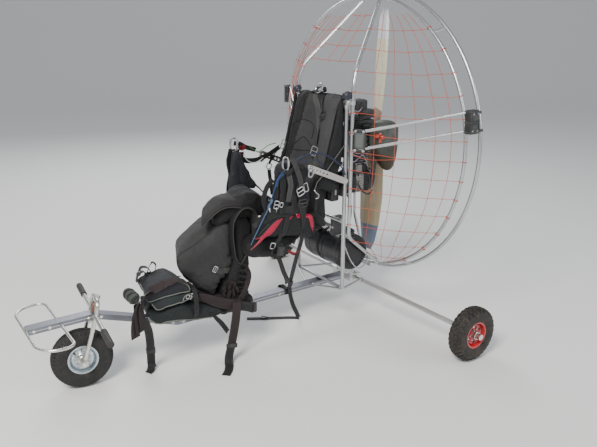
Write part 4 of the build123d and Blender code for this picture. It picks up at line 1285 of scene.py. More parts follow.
# ---- flap folded over the top of the bag
b = Build()
edge_lo = [(0.198, 0.122, 0.650), (0.152, 0.126, 0.684), (0.100, 0.126, 0.711), (0.045, 0.124, 0.716), (-0.010, 0.118, 0.698)]
edge_mid = [(0.182, 0.092, 0.672), (0.138, 0.096, 0.708), (0.088, 0.096, 0.732), (0.030, 0.094, 0.738), (-0.026, 0.088, 0.722)]
edge_hi = [(0.146, 0.030, 0.696), (0.112, 0.030, 0.726), (0.072, 0.026, 0.746), (0.015, 0.020, 0.748), (-0.040, 0.016, 0.738)]
edge_top = [(0.104, -0.035, 0.684), (0.080, -0.038, 0.708), (0.045, -0.038, 0.728), (0.0, -0.038, 0.734), (-0.044, -0.034, 0.730)]
edge_bk = [(0.096, -0.056, 0.650), (0.072, -0.060, 0.674), (0.038, -0.062, 0.694), (0.0, -0.062, 0.704), (-0.044, -0.060, 0.700)]
ctrl = [edge_lo, edge_mid, edge_hi, edge_top, edge_bk]
cols = [catmull(c, 10) for c in ctrl]
rows = [catmull([c[i] for c in cols], 8) for i in range(len(cols[0]))]
outer, inner = [], []
for i, r in enumerate(rows):
    ro, ri = [], []
    for j, p in enumerate(r):
        w = noise.noise((p.x * 14 + 3, p.y * 18, p.z * 9)) * 0.007 + noise.noise((p.x * 40, p.y * 30, p.z * 40)) * 0.0018
        n = V(0.15, 0.55, 0.8).normalized()
        ro.append(p + n * (w + 0.003))
        ri.append(p + n * (w - 0.002))
    outer.append(ro)
    inner.append(ri)
b.grid(outer)
b.grid(inner, flip=True)
rim_o = outer[0] + [r[-1] for r in outer[1:]] + outer[-1][-2::-1] + [r[0] for r in outer[-2:0:-1]]
rim_i = inner[0] + [r[-1] for r in inner[1:]] + inner[-1][-2::-1] + [r[0] for r in inner[-2:0:-1]]
b.grid([rim_o, rim_i], close_v=True)
o = b.obj("bag_top_flap", "greyfab2", autosmooth=60)
ride(o, "frame", "grey_fabric")
b = Build()
b.tube([r[0] for r in outer], 0.0024, 8)
b.tube([r[2] + V(0.001, 0.002, 0.003) for r in outer], 0.0016, 8)
b.tube([r[-1] for r in outer], 0.0022, 8)
o = b.obj("flap_piping", "piping_dim")
ride(o, "frame", "grey_fabric")

# ---- rounded folded ear beside the bag: a cuff open to the near side
ear = [(-0.010, 0.120, 0.700), (-0.048, 0.124, 0.697), (-0.080, 0.122, 0.662), (-0.086, 0.118, 0.610), (-0.074, 0.116, 0.556), (-0.045, 0.116, 0.505), (-0.012, 0.117, 0.462), (0.012, 0.120, 0.440),
       (0.034, 0.124, 0.470), (0.046, 0.127, 0.535), (0.050, 0.128, 0.600), (0.040, 0.126, 0.655)]
loop = catmull(ear, 6, closed=True)
ctr = sum(loop, Vector()) / len(loop)
b = Build()
rings = []
for depth, k in ((0.010, 1.0), (0.0, 0.985), (-0.012, 0.93), (-0.030, 0.84), (-0.050, 0.70), (-0.062, 0.45), (-0.066, 0.15)):
    ring = []
    for i, p in enumerate(loop):
        q = ctr + (p - ctr) * k
        q.y = p.y + depth
        q += V(0, 1, 0) * noise.noise((q.x * 20, 4.0, q.z * 20)) * 0.006 * (1 if k < 0.95 else 0.2)
        ring.append(q)
    rings.append(ring)
b.mat(0)
b.grid(rings[:4], close_v=True, flip=False)
b.mat(1)
b.grid(rings[3:], close_v=True, flip=False)
b.cap(rings[-1], flip=True, flat=False)
out = []
for depth, k in ((0.010, 1.0), (0.002, 1.035), (-0.020, 1.05), (-0.050, 1.04), (-0.075, 0.98)):
    ring = []
    for i, p in enumerate(loop):
        q = ctr + (p - ctr) * k
        q.y = p.y + depth
        ring.append(q)
    out.append(ring)
b.mat(2)
b.grid(out, close_v=True, flip=True)
b.grid([out[-1], [ctr + (p - ctr) * 0.5 + V(0, -0.085, 0) for p in out[-1]]], close_v=True, flip=True)
o = b.obj("bag_side_cuff", ("cuffgrey", "blackfab", "blackfab"), autosmooth=70)
ride(o, "frame", "black_fabric")
T_EAR = surface(o)
b = Build()
b.tube([p + V(0, 0.011, 0) for p in loop], 0.0024, 8, closed=True)
o = b.obj("cuff_piping", "piping_dim")
ride(o, "frame", "grey_fabric")


# ===================================================================== wheels
STEER_UP = V(-0.322266, 0.0, 0.946649)
FRONT_C = V(AXLE_X, 0.0, 0.130)
TURN = Matrix.Translation(FRONT_C) @ Matrix.Rotation(radians(-8.0), 4, STEER_UP)
REAR_L = Matrix.Translation(V(-0.817, 0.812, 0.130))
REAR_R = Matrix.Translation(V(-0.817, -0.812, 0.130)) @ Matrix.Rotation(pi, 4, "Z")


def placed(b, m):
    b.v = [tuple(m @ Vector(p)) for p in b.v]
    return b


# half section of the tyre from the bead to the middle of the tread: across, radius (mm)
SECTION = [(25.5, 62.5), (30.0, 64.0), (34.5, 69.5), (38.0, 78.0), (39.9, 88.0), (40.2, 97.0), (38.6, 106.5), (36.4, 112.5), (35.4, 115.4), (33.2, 119.6),
           (30.4, 122.6), (27.4, 124.4), (26.4, 124.9), (21.5, 126.8), (17.6, 128.0), (16.6, 128.2), (12.0, 129.1), (8.2, 129.6), (7.2, 129.7), (3.5, 129.95), (0.0, 130.0)]


def tyre(name, m, mat, knobby):
    b = Build()
    pts = [(w, r) for w, r in SECTION] + [(-w, r) for w, r in SECTION[-2::-1]]
    pitches = 30 if knobby else 44
    fr = [0.0, 0.03, 0.24, 0.27, 0.47, 0.50, 0.53, 0.74, 0.77, 0.97]
    count = pitches * len(fr)
    nor = []
    for i in range(len(pts)):
        a, c = pts[max(i - 1, 0)], pts[min(i + 1, len(pts) - 1)]
        t = Vector((c[0] - a[0], c[1] - a[1])).normalized()
        nor.append((-t.y, t.x) if (-t.y * pts[i][0] + t.x * (pts[i][1] - 96)) > 0 else (t.y, -t.x))
    rows = []
    for p in range(pitches):
        for f in fr:
            a = 2 * pi * (p + f) / pitches
            row = []
            for i, ((w, r), (nx, nr)) in enumerate(zip(pts, nor)):
                side = 1 if w > 0 else -1
                aw = abs(w)
                cut = 0.0
                if r > 114.0:
                    if knobby:
                        if aw >= 27.0:
                            blk = 0.02 < f < 0.49 if side > 0 else 0.52 < f < 0.98
                            cut = 0.0 if blk else 5.0
                        elif 17.4 < aw < 27.0:
                            cut = 4.6
                            if aw < 22:
                                cut = 4.6 if not (0.26 < f < 0.75) else 0.0
                        elif 7.9 < aw < 17.4:
                            blk = 0.26 < f < 0.75
                            cut = 0.0 if blk else 4.6
                            if aw < 8.3:
                                cut = 4.2
                        else:
                            blk = f < 0.48 or f > 0.96
                            cut = 0.0 if blk else 4.6
                            if aw > 7.0:
                                cut = 4.2
                    else:
                        if aw >= 27.0:
                            blk = (f < 0.48 or f > 0.96) if side > 0 else (0.26 < f < 0.76)
                            cut = 0.0 if blk else 4.0
                        elif aw > 26.0:
                            cut = 3.2
                        elif 16.5 < aw < 17.8:
                            cut = 3.4
                        elif 7.0 < aw < 8.4:
                            cut = 3.4
                        elif 17.8 < aw < 26.0:
                            cut = 1.2 if (0.26 < f < 0.50) else 0.0
                if 84 < r < 90 and aw > 38:
                    cut = -0.5
                if 104 < r < 108:
                    cut = -0.7
                if r < 64.5 and aw > 28:
                    cut = -0.6
                w2, r2 = w - nx * cut, r - nr * cut
                row.append(V(r2 * sin(a), w2, r2 * cos(a)) / 1000)
            rows.append(row)
    b.grid(rows, close_u=True, flip=False)
    b.lathe([(-0.0255, 0.0625), (0.0255, 0.0625)], (0, 0, 0), (0, 1, 0), 60)
    placed(b, m)
    return b.obj(name, mat, autosmooth=42)


def disc_z(profile, r):
    for (r0, y0), (r1, y1) in zip(profile[:-1], profile[1:]):
        if r0 <= r <= r1:
            return y0 + (y1 - y0) * (r - r0) / max(1e-9, r1 - r0)
    return profile[-1][1]


def slotted_disc(b, profile, thick, slots, r_in, r_out, half, seg=8):
    """A pressed disc round +Y with rounded-end slots left open."""
    rs = sorted(set([profile[0][0]] + [r for r, _ in profile] + [r_in, r_out, (r_in + r_out) / 2, r_in + (r_out - r_in) * 0.12, r_out - (r_out - r_in) * 0.12]))
    an = []
    for s in range(slots):
        base = 2 * pi * s / slots
        for q in (-half, -half * 0.72, -half * 0.3, half * 0.3, half * 0.72, half):
            an.append(base + q)
        gap = 2 * pi / slots - 2 * half
        for q in range(1, 4):
            an.append(base + half + gap * q / 4)
    na, nr = len(an), len(rs)

    def open_cell(i, j):
        r0, r1 = rs[i], rs[i + 1]
        k = j % 9
        if r0 < r_in - 1e-9 or r1 > r_out + 1e-9 or k > 4:
            return False
        edge_r = (r0 < r_in + 1e-9) or (r1 > r_out - 1e-9)
        if edge_r and k in (0, 4):
            return False
        return True

    def P(i, j, face):
        r, a = rs[i], an[j % na]
        y = disc_z(profile, r) + (thick / 2 if face else -thick / 2)
        return V(r * sin(a), y, r * cos(a))

    for i in range(nr - 1):
        for j in range(na):
            if open_cell(i, j):
                continue
            for face in (1, 0):
                q = [P(i, j, face), P(i + 1, j, face), P(i + 1, j + 1, face), P(i, j + 1, face)]
                b.add(q if face else q[::-1], [[0, 1, 2, 3]])
            for di, dj, e in ((-1, 0, ((i, j), (i, j + 1))), (1, 0, ((i + 1, j), (i + 1, j + 1))), (0, -1, ((i, j), (i + 1, j))), (0, 1, ((i, j + 1), (i + 1, j + 1)))):
                ii, jj = i + di, (j + dj) % na
                if 0 <= ii < nr - 1 and open_cell(ii, jj):
                    (a0, a1), (c0, c1) = e
                    b.add([P(a0, a1, 1), P(c0, c1, 1), P(c0, c1, 0), P(a0, a1, 0)], [[0, 1, 2, 3]])
    for i in (0, nr - 1):
        for j in range(na):
            b.add([P(i, j, 1), P(i, j + 1, 1), P(i, j + 1, 0), P(i, j, 0)], [[0, 1, 2, 3]])


def rim(name, m, mats, slots, slot_r, dish, half_ang):
    b = Build()
    # band with rolled flanges
    band = [(-0.0290, 0.0655), (-0.0310, 0.0640), (-0.0312, 0.0600), (-0.0290, 0.0560), (-0.020, 0.0545), (-0.010, 0.0520), (0.010, 0.0520), (0.020, 0.0545), (0.0290, 0.0560), (0.0312, 0.0600),
            (0.0310, 0.0640), (0.0290, 0.0655), (0.0275, 0.0640), (0.0270, 0.0615), (0.020, 0.0600), (0.010, 0.0590), (-0.010, 0.0590), (-0.020, 0.0600), (-0.0270, 0.0615), (-0.0275, 0.0640)]
    b.lathe(band, (0, 0, 0), (0, 1, 0), 72, closed=True)
    d = dish
    prof = [(0.0195, d + 0.004), (0.024, d + 0.0045), (0.027, d + 0.001), (0.031, d - 0.001), (0.036, d + 0.002), (0.046, d + 0.003), (0.049, d - 0.001), (0.0525, d - 0.004)]
    slotted_disc(b, prof, 0.003, slots, slot_r[0], slot_r[1], half_ang)
    # hub barrel, both ends
    b.mat(1)
    b.lathe([(-0.036, 0.009), (-0.036, 0.0175), (-0.034, 0.0200), (-0.010, 0.0205), (0.010, 0.0205), (0.034, 0.0200), (0.036, 0.0175), (0.036, 0.009)], (0, 0, 0), (0, 1, 0), 40)
    b.lathe([(-0.036, 0.009), (0.036, 0.009)], (0, 0, 0), (0, 1, 0), 40)
    for s in range(slots):
        a = 2 * pi * (s + 0.5) / slots
        p = V(0.0285 * sin(a), disc_z(prof, 0.0285) + 0.0015, 0.0285 * cos(a))
        b.hexbolt(p, (0, 1, 0), 0.0034, 0.0034, True)
        b.hexbolt(V(p.x, disc_z(prof, 0.0285) - 0.0015, p.z), (0, -1, 0), 0.0034, 0.003, True)
    # valve
    b.mat(2)
    a = 2 * pi * 0.62 / slots
    root = V(0.0500 * sin(a), 0.016, 0.0500 * cos(a))
    tip = V(0.0395 * sin(a), 0.031, 0.0395 * cos(a))
    b.tube([root, root.lerp(tip, 0.5), tip], lambda t: 0.0036 - 0.001 * t, 12)
    b.mat(1)
    b.tube([tip, tip + (tip - root).normalized() * 0.006], 0.0030, 12)
    placed(b, m)
    return b.obj(name, mats, autosmooth=38)


ride(tyre("front_tyre_tread", TURN, "tyre", False), "front_wheel", "tyre", "front_tyre")
ride(tyre("rear_left_tyre_tread", REAR_L, "tyre_r", True), "rear_left_wheel", "tyre", "rear_left_tyre")
ride(tyre("rear_right_tyre_tread", REAR_R, "tyre_r", True), "rear_right_wheel", "tyre", "rear_right_tyre")
ride(rim("front_rim_disc", TURN, ("rimzinc", "zinc", "hose"), 5, (0.0375, 0.0445), 0.012, radians(9)), "front_wheel", "zinc_rim", "front_rim")
ride(rim("rear_left_rim_disc", REAR_L, ("red", "steel", "hose"), 6, (0.0335, 0.0470), 0.014, radians(17)), "rear_left_wheel", "red_rim", "rear_left_rim")
ride(rim("rear_right_rim_disc", REAR_R, ("red", "steel", "hose"), 6, (0.0335, 0.0470), 0.014, radians(17)), "rear_right_wheel", "red_rim", "rear_right_rim")

# caps and nuts on the axle ends
b = Build()
for s in (1, -1):
    b.hexbolt((0, 0.072 * s, 0), (0, s, 0), 0.0102, 0.010, True, 0.005)
placed(b, TURN)
ride(b.obj("front_axle_nuts", "zinc"), "steering", "zinc_steel")
b = Build()
for s in (1, -1):
    p = V(-0.817, 0.812 * s + 0.036 * s, 0.130)
    b.lathe([(0, 0.0), (0, 0.0165), (0.0015, 0.0170), (0.0035, 0.0165), (0.0035, 0.0)], p, (0, s, 0), 24)
    b.hexbolt(p + V(0, 0.0035 * s, 0), (0, s, 0), 0.0105, 0.009, False, 0.004)
ride(b.obj("rear_axle_nuts", "zinc"), "frame", "zinc_steel")


# ===================================================================== engine
EX, CZ, PZ = AXLE_X - 1.508, 0.705, 0.926          # crankshaft station, crankshaft and propeller heights


def lugs(b, c, axis, n, rad, r, h, phase=0.0):
    ax = Vector(axis).normalized()
    ref = V(0, 0, 1) if abs(ax.z) < 0.9 else V(1, 0, 0)
    e1 = (ref - ax * ref.dot(ax)).normalized()
    e2 = ax.cross(e1)
    for k in range(n):
        a = phase + 2 * pi * k / n
        b.hexbolt(Vector(c) + (e1 * cos(a) + e2 * sin(a)) * rad, ax, r, h, True)


# head bolts, plug cap and lead
b = Build()
for sx in (-1, 1):
    for sy in (-1, 1):
        b.lathe([(0, 0), (0, 0.0065), (0.010, 0.0065), (0.010, 0)], (EX + sx * 0.034, sy * 0.038, 1.0535), (0, 0, 1), 16)
        b.hexbolt((EX + sx * 0.034, sy * 0.038, 1.0635), (0, 0, 1), 0.0062, 0.007, True, 0.004)
b.hexbolt((EX, 0, 1.054), (0, 0, 1), 0.0105, 0.010, True)
ride(b.obj("head_bolts", "zinc"), "frame", "zinc_steel")

b = Build()
cap = [(0, 0.0), (0, 0.0125), (0.012, 0.0135), (0.030, 0.0150), (0.046, 0.0150), (0.056, 0.0135), (0.060, 0.009), (0.0615, 0.0)]
b.lathe(cap, (EX, 0, 1.0722), (0, 0, 1), 28)
for k in range(4):
    b.lathe([(0, 0.0145), (0.0015, 0.0162), (0.003, 0.0145)], (EX, 0, 1.083 + 0.008 * k), (0, 0, 1), 28)
lead = catmull([(EX, 0.0, 1.122), (EX + 0.006, 0.030, 1.130), (EX + 0.030, 0.066, 1.118), (EX + 0.050, 0.080, 1.070), (EX + 0.058, 0.078, 0.98), (EX + 0.062, 0.074, 0.88), (EX + 0.066, 0.066, 0.80), (EX + 0.062, 0.056, 0.752)], 8)
b.tube(lead, 0.0036, 10)
ride(b.obj("plug_cap_and_lead", "black"), "frame", "black_plastic", "spark_plug_cap")

# crankcase: ribs, split line, studs and bolts
b = Build()
for k in range(7):
    z = CZ - 0.048 + k * 0.014
    for s in (-1, 1):
        b.box((EX, s * 0.0625, z), (0.074, 0.005, 0.004), bevel=0.0012, seg=1)
b.box((EX, 0, CZ), (0.0985, 0.0030, 0.112), bevel=0.001, seg=1)
for sz in (-0.040, 0.0, 0.040):
    for s in (-1, 1):
        b.lathe([(0, 0), (0, 0.007), (0.012, 0.006), (0.012, 0)], (EX + 0.030, s * 0.056, CZ + sz), (0, s, 0), 14)
ride(b.obj("crankcase_ribs", "casttwo", autosmooth=30), "frame", "cast_alloy")
b = Build()
lugs(b, (EX + 0.049, 0, CZ), (1, 0, 0), 6, 0.060, 0.0042, 0.005, 0.3)
for sy in (-1, 1):
    for sx in (-1, 1):
        b.hexbolt((EX + sx * 0.031, sy * 0.034, 0.7965), (0, 0, 1), 0.0055, 0.007, True, 0.003)
ride(b.obj("crankcase_bolts", "zinc"), "frame", "zinc_steel")

# recoil starter: domed cover with slots, boss and pull handle, towards the seat
b = Build()
c = V(EX + 0.048, 0, CZ)
prof = [(0.0, 0.0), (0.0, 0.0675), (0.012, 0.0680), (0.024, 0.0665), (0.031, 0.060), (0.0345, 0.050), (0.0355, 0.028), (0.034, 0.024), (0.034, 0.016), (0.0385, 0.014), (0.0395, 0.0)]
b.lathe(prof, c, (1, 0, 0), 56)
for k in range(16):
    a = 2 * pi * k / 16
    u = V(0, cos(a), sin(a))
    rot = Matrix((V(1, 0, 0), u, V(1, 0, 0).cross(u))).transposed()
    b.box(c + V(0.0345, 0, 0) + u * 0.041, (0.006, 0.020, 0.0035), rot, 0.0012, 1)
ride(b.obj("recoil_cover", "black_matt", autosmooth=40), "frame", "black_plastic", "starter_housing")
b = Build()
lugs(b, c + V(0.022, 0, 0), (1, 0, 0), 4, 0.0625, 0.0038, 0.004, 0.78)
b.lathe([(0, 0), (0, 0.010), (0.003, 0.010), (0.004, 0.0)], c + V(0.0388, 0, 0), (1, 0, 0), 20)
b.hexbolt(c + V(0.0405, 0, 0), (1, 0, 0), 0.006, 0.004, False)
ride(b.obj("recoil_bolts", "steel"), "frame", "zinc_steel")
b = Build()
h = V(EX + 0.072, 0.050, CZ + 0.064)
b.tube([c + V(0.020, 0.045, 0.050), h], 0.0022, 8)
b.tube(catmull([h + V(0, -0.018, 0.008), h + V(0, 0, 0.010), h + V(0, 0.020, 0.002)], 6), lambda t: 0.0055 + 0.002 * sin(pi * t), 12)
ride(b.obj("pull_handle", "black"), "frame", "black_plastic")

# airbox with a lid, clips, ribs and the carburettor behind it
b = Build()
ac = A(1237, 102, 712)
b.box(ac, (0.048, 0.138, 0.092), bevel=0.008, seg=3)
b.box(ac + V(0.0, 0, 0.0), (0.0495, 0.1395, 0.004), bevel=0.001, seg=1)
for k in range(5):
    b.box(ac + V(0.0243, -0.046 + k * 0.023, 0.0), (0.0030, 0.004, 0.062), bevel=0.001, seg=1)
ride(b.obj("airbox_shell", "black_matt"), "frame", "black_plastic", "airbox")
b = Build()
for s in (-1, 1):
    b.box(ac + V(0.0, s * 0.0695, 0.0), (0.010, 0.0022, 0.026), bevel=0.0006, seg=1)
b.tube([ac + V(-0.018, -0.030, 0.0), ac + V(-0.060, -0.040, 0.004)], 0.018, 24)
b.box(ac + V(-0.080, -0.042, 0.004), (0.040, 0.046, 0.050), bevel=0.006, seg=2)
b.tube([ac + V(-0.080, -0.042, -0.016), ac + V(-0.080, -0.042, -0.040)], 0.015, 20)
lugs(b, ac + V(-0.059, -0.041, 0.004), (1, 0, 0), 4, 0.021, 0.0028, 0.003, 0.78)
ride(b.obj("carburettor", "cast"), "frame", "cast_alloy")

# belt drive: grooved pulleys, belt, offset plate and tensioner bolt
BX = AXLE_X - 1.574
b = Build()
for zc, r in ((CZ, 0.0605), (PZ, 0.074)):
    prof = [(-0.017, 0.010), (-0.017, r + 0.002), (-0.0155, r + 0.002)]
    for k in range(6):
        x = -0.0135 + k * 0.0054
        prof += [(x - 0.0020, r), (x, r - 0.0032), (x + 0.0020, r)]
    prof += [(0.0155, r + 0.002), (0.017, r + 0.002), (0.017, 0.010)]
    b.lathe(prof, (BX, 0, zc), (1, 0, 0), 64)
    b.lathe([(-0.017, 0.010), (0.017, 0.010)], (BX, 0, zc), (1, 0, 0), 24)
for k in range(5):
    a = 2 * pi * k / 5
    for s in (-1, 1):
        b.lathe([(0, 0.0), (0, 0.013), (s * 0.0012, 0.0135), (s * 0.0024, 0.013), (s * 0.0024, 0.0)], (BX + s * 0.0160, 0.046 * cos(a), PZ + 0.046 * sin(a)), (1, 0, 0), 20)
ride(b.obj("pulleys", "steel", autosmooth=30), "frame", "cast_alloy", "reduction_drive")
b = Build()
H = PZ - CZ
r1, r2 = 0.0610, 0.0745
al = acos((r2 - r1) / H)
belt_out = []
for k in range(33):
    a = -al + 2 * al * k / 32
    belt_out.append((sin(a) * r2, PZ + cos(a) * r2))
for k in range(33):
    a = al + (2 * pi - 2 * al) * k / 32
    belt_out.append((sin(a) * r1, CZ + cos(a) * r1))
rows = []
for i, (y, z) in enumerate(belt_out):
    y0, z0 = belt_out[i - 1]
    y1, z1 = belt_out[(i + 1) % len(belt_out)]
    t = V(0, y1 - y0, z1 - z0).normalized()
    n = V(0, t.z, -t.y)
    base = V(BX, y, z)
    if n.dot(base - V(BX, 0, (CZ + PZ) / 2)) < 0:
        n = -n
    rows.append([base + V(-0.0140, 0, 0) - n * 0.0005, base + V(-0.0140, 0, 0) + n * 0.0028, base + V(0.0140, 0, 0) + n * 0.0028, base + V(0.0140, 0, 0) - n * 0.0005])
b.grid(rows, close_u=True, close_v=True)
ride(b.obj("drive_belt", "hose", autosmooth=30), "frame", "black_plastic")
b = Build()
b.box((BX + 0.025, 0, (CZ + PZ) / 2 + 0.012), (0.010, 0.062, 0.150), bevel=0.004, seg=2)
b.lathe([(0, 0.0), (0, 0.030), (0.012, 0.028), (0.012, 0.0)], (BX + 0.018, 0, PZ), (1, 0, 0), 32)
b.lathe([(-0.020, 0.0), (-0.020, 0.014), (-0.083, 0.011), (-0.083, 0.0)], (BX, 0, PZ), (1, 0, 0), 24)
b.hexbolt((BX + 0.020, 0.0, 0.86), (-1, 0, 0), 0.0065, 0.006, True)
b.hexbolt((BX + 0.020, 0.022, 0.80), (-1, 0, 0), 0.005, 0.005, True)
b.hexbolt((BX + 0.020, -0.022, 0.80), (-1, 0, 0), 0.005, 0.005, True)
ride(b.obj("drive_plate", "cast"), "frame", "cast_alloy")

# black drum cover over the lower pulley, on the side away from the propeller
b = Build()
b.lathe([(0.0, 0.040), (0.0, 0.0640), (0.005, 0.0665), (0.012, 0.0640), (0.014, 0.040)], (BX + 0.017, 0, CZ), (1, 0, 0), 64)
for k in range(24):
    a = 2 * pi * k / 24
    b.box((BX + 0.024, cos(a) * 0.0655, CZ + sin(a) * 0.0655), (0.011, 0.004, 0.004), Matrix.Rotation(a, 3, "X"), 0.0008, 1)
ride(b.obj("clutch_drum", "black_matt", autosmooth=30), "frame", "black_plastic")

# exhaust: a canister that narrows to a rounded foot set back from its middle
SHELL = [(783.5, 1562, 4), (785, 1562, 13), (790, 1561, 22), (800, 1559, 30.5), (816, 1555, 40), (836, 1549.5, 49), (862, 1541, 59.5), (888, 1534, 67), (912, 1531, 70.5),
         (950, 1530, 72), (985, 1530, 72), (1004, 1530, 71), (1018, 1530, 65), (1030, 1530, 54), (1037, 1530, 38), (1038.5, 1530, 20), (1038.8, 1530, 3)]
b = Build()
rows = []
for z, back, r in SHELL:
    c = A(back, 180, z)
    rows.append([c + V(cos(a), sin(a), 0) * (r / 1000) for a in [2 * pi * k / 64 for k in range(64)]])
b.grid(rows, close_v=True, flip=True)
b.cap(rows[0])
b.cap(rows[-1], flip=True)
pipe = catmull([A(1508, 50, 930), A(1509, 84, 930), A(1512, 108, 928), A(1518, 128, 924)], 6)
b.tube(pipe, 0.0160, 24)
ride(b.obj("exhaust_canister", "muffler", autosmooth=40), "frame", "muffler_metal", "exhaust_muffler")
MC = A(1530, 180, 950)
b = Build()
for z, r in ((0.912, 0.0706), (0.985, 0.0721), (1.004, 0.0711)):
    b.lathe([(-0.0026, r - 0.002), (-0.0014, r + 0.0011), (0.0014, r + 0.0011), (0.0026, r - 0.002)], (MC.x - (0.001 if z < 0.95 else 0), MC.y, z), (0, 0, 1), 64)
for y in (62, 104):
    b.lathe([(-0.003, 0.0155), (-0.002, 0.0200), (0.002, 0.0200), (0.003, 0.0155)], A(1509, y, 930), (0, 1, 0), 28)
for k in range(3):
    a = 2 * pi * k / 3 + 0.5
    b.box(A(1509, 106, 930) + V(cos(a) * 0.024, 0, sin(a) * 0.024), (0.010, 0.014, 0.010), Matrix.Rotation(-a, 3, "Y"), 0.0015, 1)
ride(b.obj("exhaust_seams", "muffler"), "frame", "muffler_metal")
b = Build()
for z in (0.913, 0.947):
    p0, p1 = A(1500, 66, 0) + V(0.018, 0, z), A(1504, 108, 0) + V(0.018, 0, z)
    coil = []
    for k in range(97):
        t = k / 96
        q = p0.lerp(p1, t)
        a = 2 * pi * 12 * t
        coil.append(q + V(cos(a) * 0.0042, 0, sin(a) * 0.0042))
    b.tube(coil, 0.0008, 5)
ride(b.obj("exhaust_springs", "steel"), "frame", "zinc_steel")
b = Build()
for q, s in (((-0.7345, 0.2085, 0.9680), 0.80), ((-0.7480, 0.2300, 0.9650), 0.80), ((-0.7410, 0.2200, 0.9790), 0.62)):
    q = Vector(q)
    n = V(q.x - MC.x, q.y - MC.y, 0).normalized()
    b.lathe([(0, 0), (0, 0.011 * s), (0.006, 0.0135 * s), (0.013, 0.0110 * s), (0.020 * s, 0.0135 * s), (0.025 * s, 0.0095 * s), (0.027 * s, 0)], q - n * 0.008, n + V(0, 0, 0.15), 22)
    b.lathe([(0, 0), (0, 0.0050), (0.006, 0.0045), (0.006, 0)], q + n * (0.027 * s - 0.008), n + V(0, 0, 0.15), 12)
b.box((-0.7425, 0.2205, 0.9490), (0.020, 0.014, 0.022), Matrix.Rotation(radians(45), 3, "Z"), 0.003, 2)
ride(b.obj("exhaust_soft_mounts", "orange"), "frame", "red_anodised")

# black air shroud beside the cylinder head and the duct over the crankcase
b = Build()
b.box((EX + 0.0, 0.062, 0.995), (0.112, 0.016, 0.070), bevel=0.006, seg=2)
b.box((EX - 0.0, -0.062, 0.995), (0.112, 0.016, 0.070), bevel=0.006, seg=2)
b.box((EX - 0.054, 0, 0.995), (0.010, 0.126, 0.070), bevel=0.004, seg=2)
b.box((EX + 0.0, 0.0, 1.044), (0.118, 0.140, 0.014), bevel=0.005, seg=2)
for k in range(5):
    b.box((EX + 0.0, 0.0715, 0.972 + k * 0.011), (0.090, 0.003, 0.004), bevel=0.001, seg=1)
b.box((EX + 0.018, 0.030, 1.098), (0.066, 0.070, 0.070), bevel=0.012, seg=2)
b.box((EX - 0.010, 0.048, 1.066), (0.090, 0.050, 0.034), bevel=0.010, seg=2)
b.tube(catmull([(EX + 0.02, 0.072, 1.000), (EX + 0.006, 0.090, 1.002), (EX - 0.020, 0.106, 0.998), (EX - 0.038, 0.112, 0.990)], 6), 0.014, 20)
ride(b.obj("cooling_shroud", "black_matt"), "frame", "black_plastic")

# hoses, wires and cords round the engine
b = Build()
b.tube(catmull([(-0.560, 0.060, 0.720), (-0.600, 0.110, 0.700), (-0.640, 0.120, 0.640), (-0.660, 0.110, 0.560), (-0.655, 0.090, 0.480), (-0.650, 0.070, 0.455)], 8), 0.0042, 10)
b.tube(catmull([(-0.700, 0.066, 0.760), (-0.690, 0.086, 0.800), (-0.660, 0.096, 0.860), (-0.620, 0.100, 0.900), (-0.580, 0.150, 0.930), (-0.562, 0.186, 0.960)], 8), 0.0035, 10)
b.tube(catmull([(-0.760, 0.074, 0.960), (-0.720, 0.090, 0.950), (-0.680, 0.096, 0.905), (-0.650, 0.088, 0.850), (-0.640, 0.070, 0.790)], 8), 0.0030, 10)
b.tube(catmull([(-0.735, 0.070, 0.700), (-0.760, 0.082, 0.660), (-0.800, 0.084, 0.640), (-0.830, 0.076, 0.655)], 8), 0.0040, 10)
ride(b.obj("engine_hoses", "hose"), "frame", "black_plastic")
b = Build()
b.tube([(-0.600, 0.140, 0.940), (-0.612, 0.136, 0.840), (-0.622, 0.130, 0.745)], 0.0024, 10)
b.tube(catmull([(-0.700, 0.078, 0.870), (-0.742, 0.086, 0.860), (-0.770, 0.084, 0.830), (-0.790, 0.078, 0.790)], 6), 0.0022, 8)
b.tube(catmull([(-0.640, 0.100, 0.985), (-0.690, 0.104, 0.975), (-0.735, 0.100, 0.940), (-0.742, 0.096, 0.890)], 6), 0.0020, 8)
ride(b.obj("engine_rods", "steel"), "frame", "zinc_steel")
b = Build()
b.tube(catmull([(-0.565, 0.200, 0.905), (-0.610, 0.190, 0.885), (-0.660, 0.170, 0.872), (-0.700, 0.150, 0.880), (-0.745, 0.110, 0.885)], 8), 0.0030, 8)
b.tube(catmull([(-0.566, 0.202, 0.895), (-0.600, 0.180, 0.860), (-0.640, 0.150, 0.845), (-0.690, 0.120, 0.850)], 8), 0.0026, 8)
b.tube(catmull([(-0.600, 0.130, 1.075), (-0.650, 0.120, 1.090), (-0.700, 0.100, 1.082), (-0.760, 0.060, 1.095)], 8), 0.0028, 8)
ride(b.obj("starter_cord", "lilacline"), "frame", "grey_fabric")

# hub bolts
b = Build()
HX = AXLE_X - 1.640
for s in (-1, 1):
    lugs(b, (HX + s * 0.0215, 0, PZ), (s, 0, 0), 6, 0.028, 0.0046, 0.006, radians(13))
    b.hexbolt((HX + s * 0.0215, 0, PZ), (s, 0, 0), 0.0085, 0.007, True, 0.003 if s < 0 else 0.0)
ride(b.obj("hub_bolts", "steel"), "propeller", "zinc_steel")


# ================================================== harness webbing and buckles
L_HIP, R_HIP = T_HIPS
OUT, INN = (0, 1, 0), (0, -1, 0)

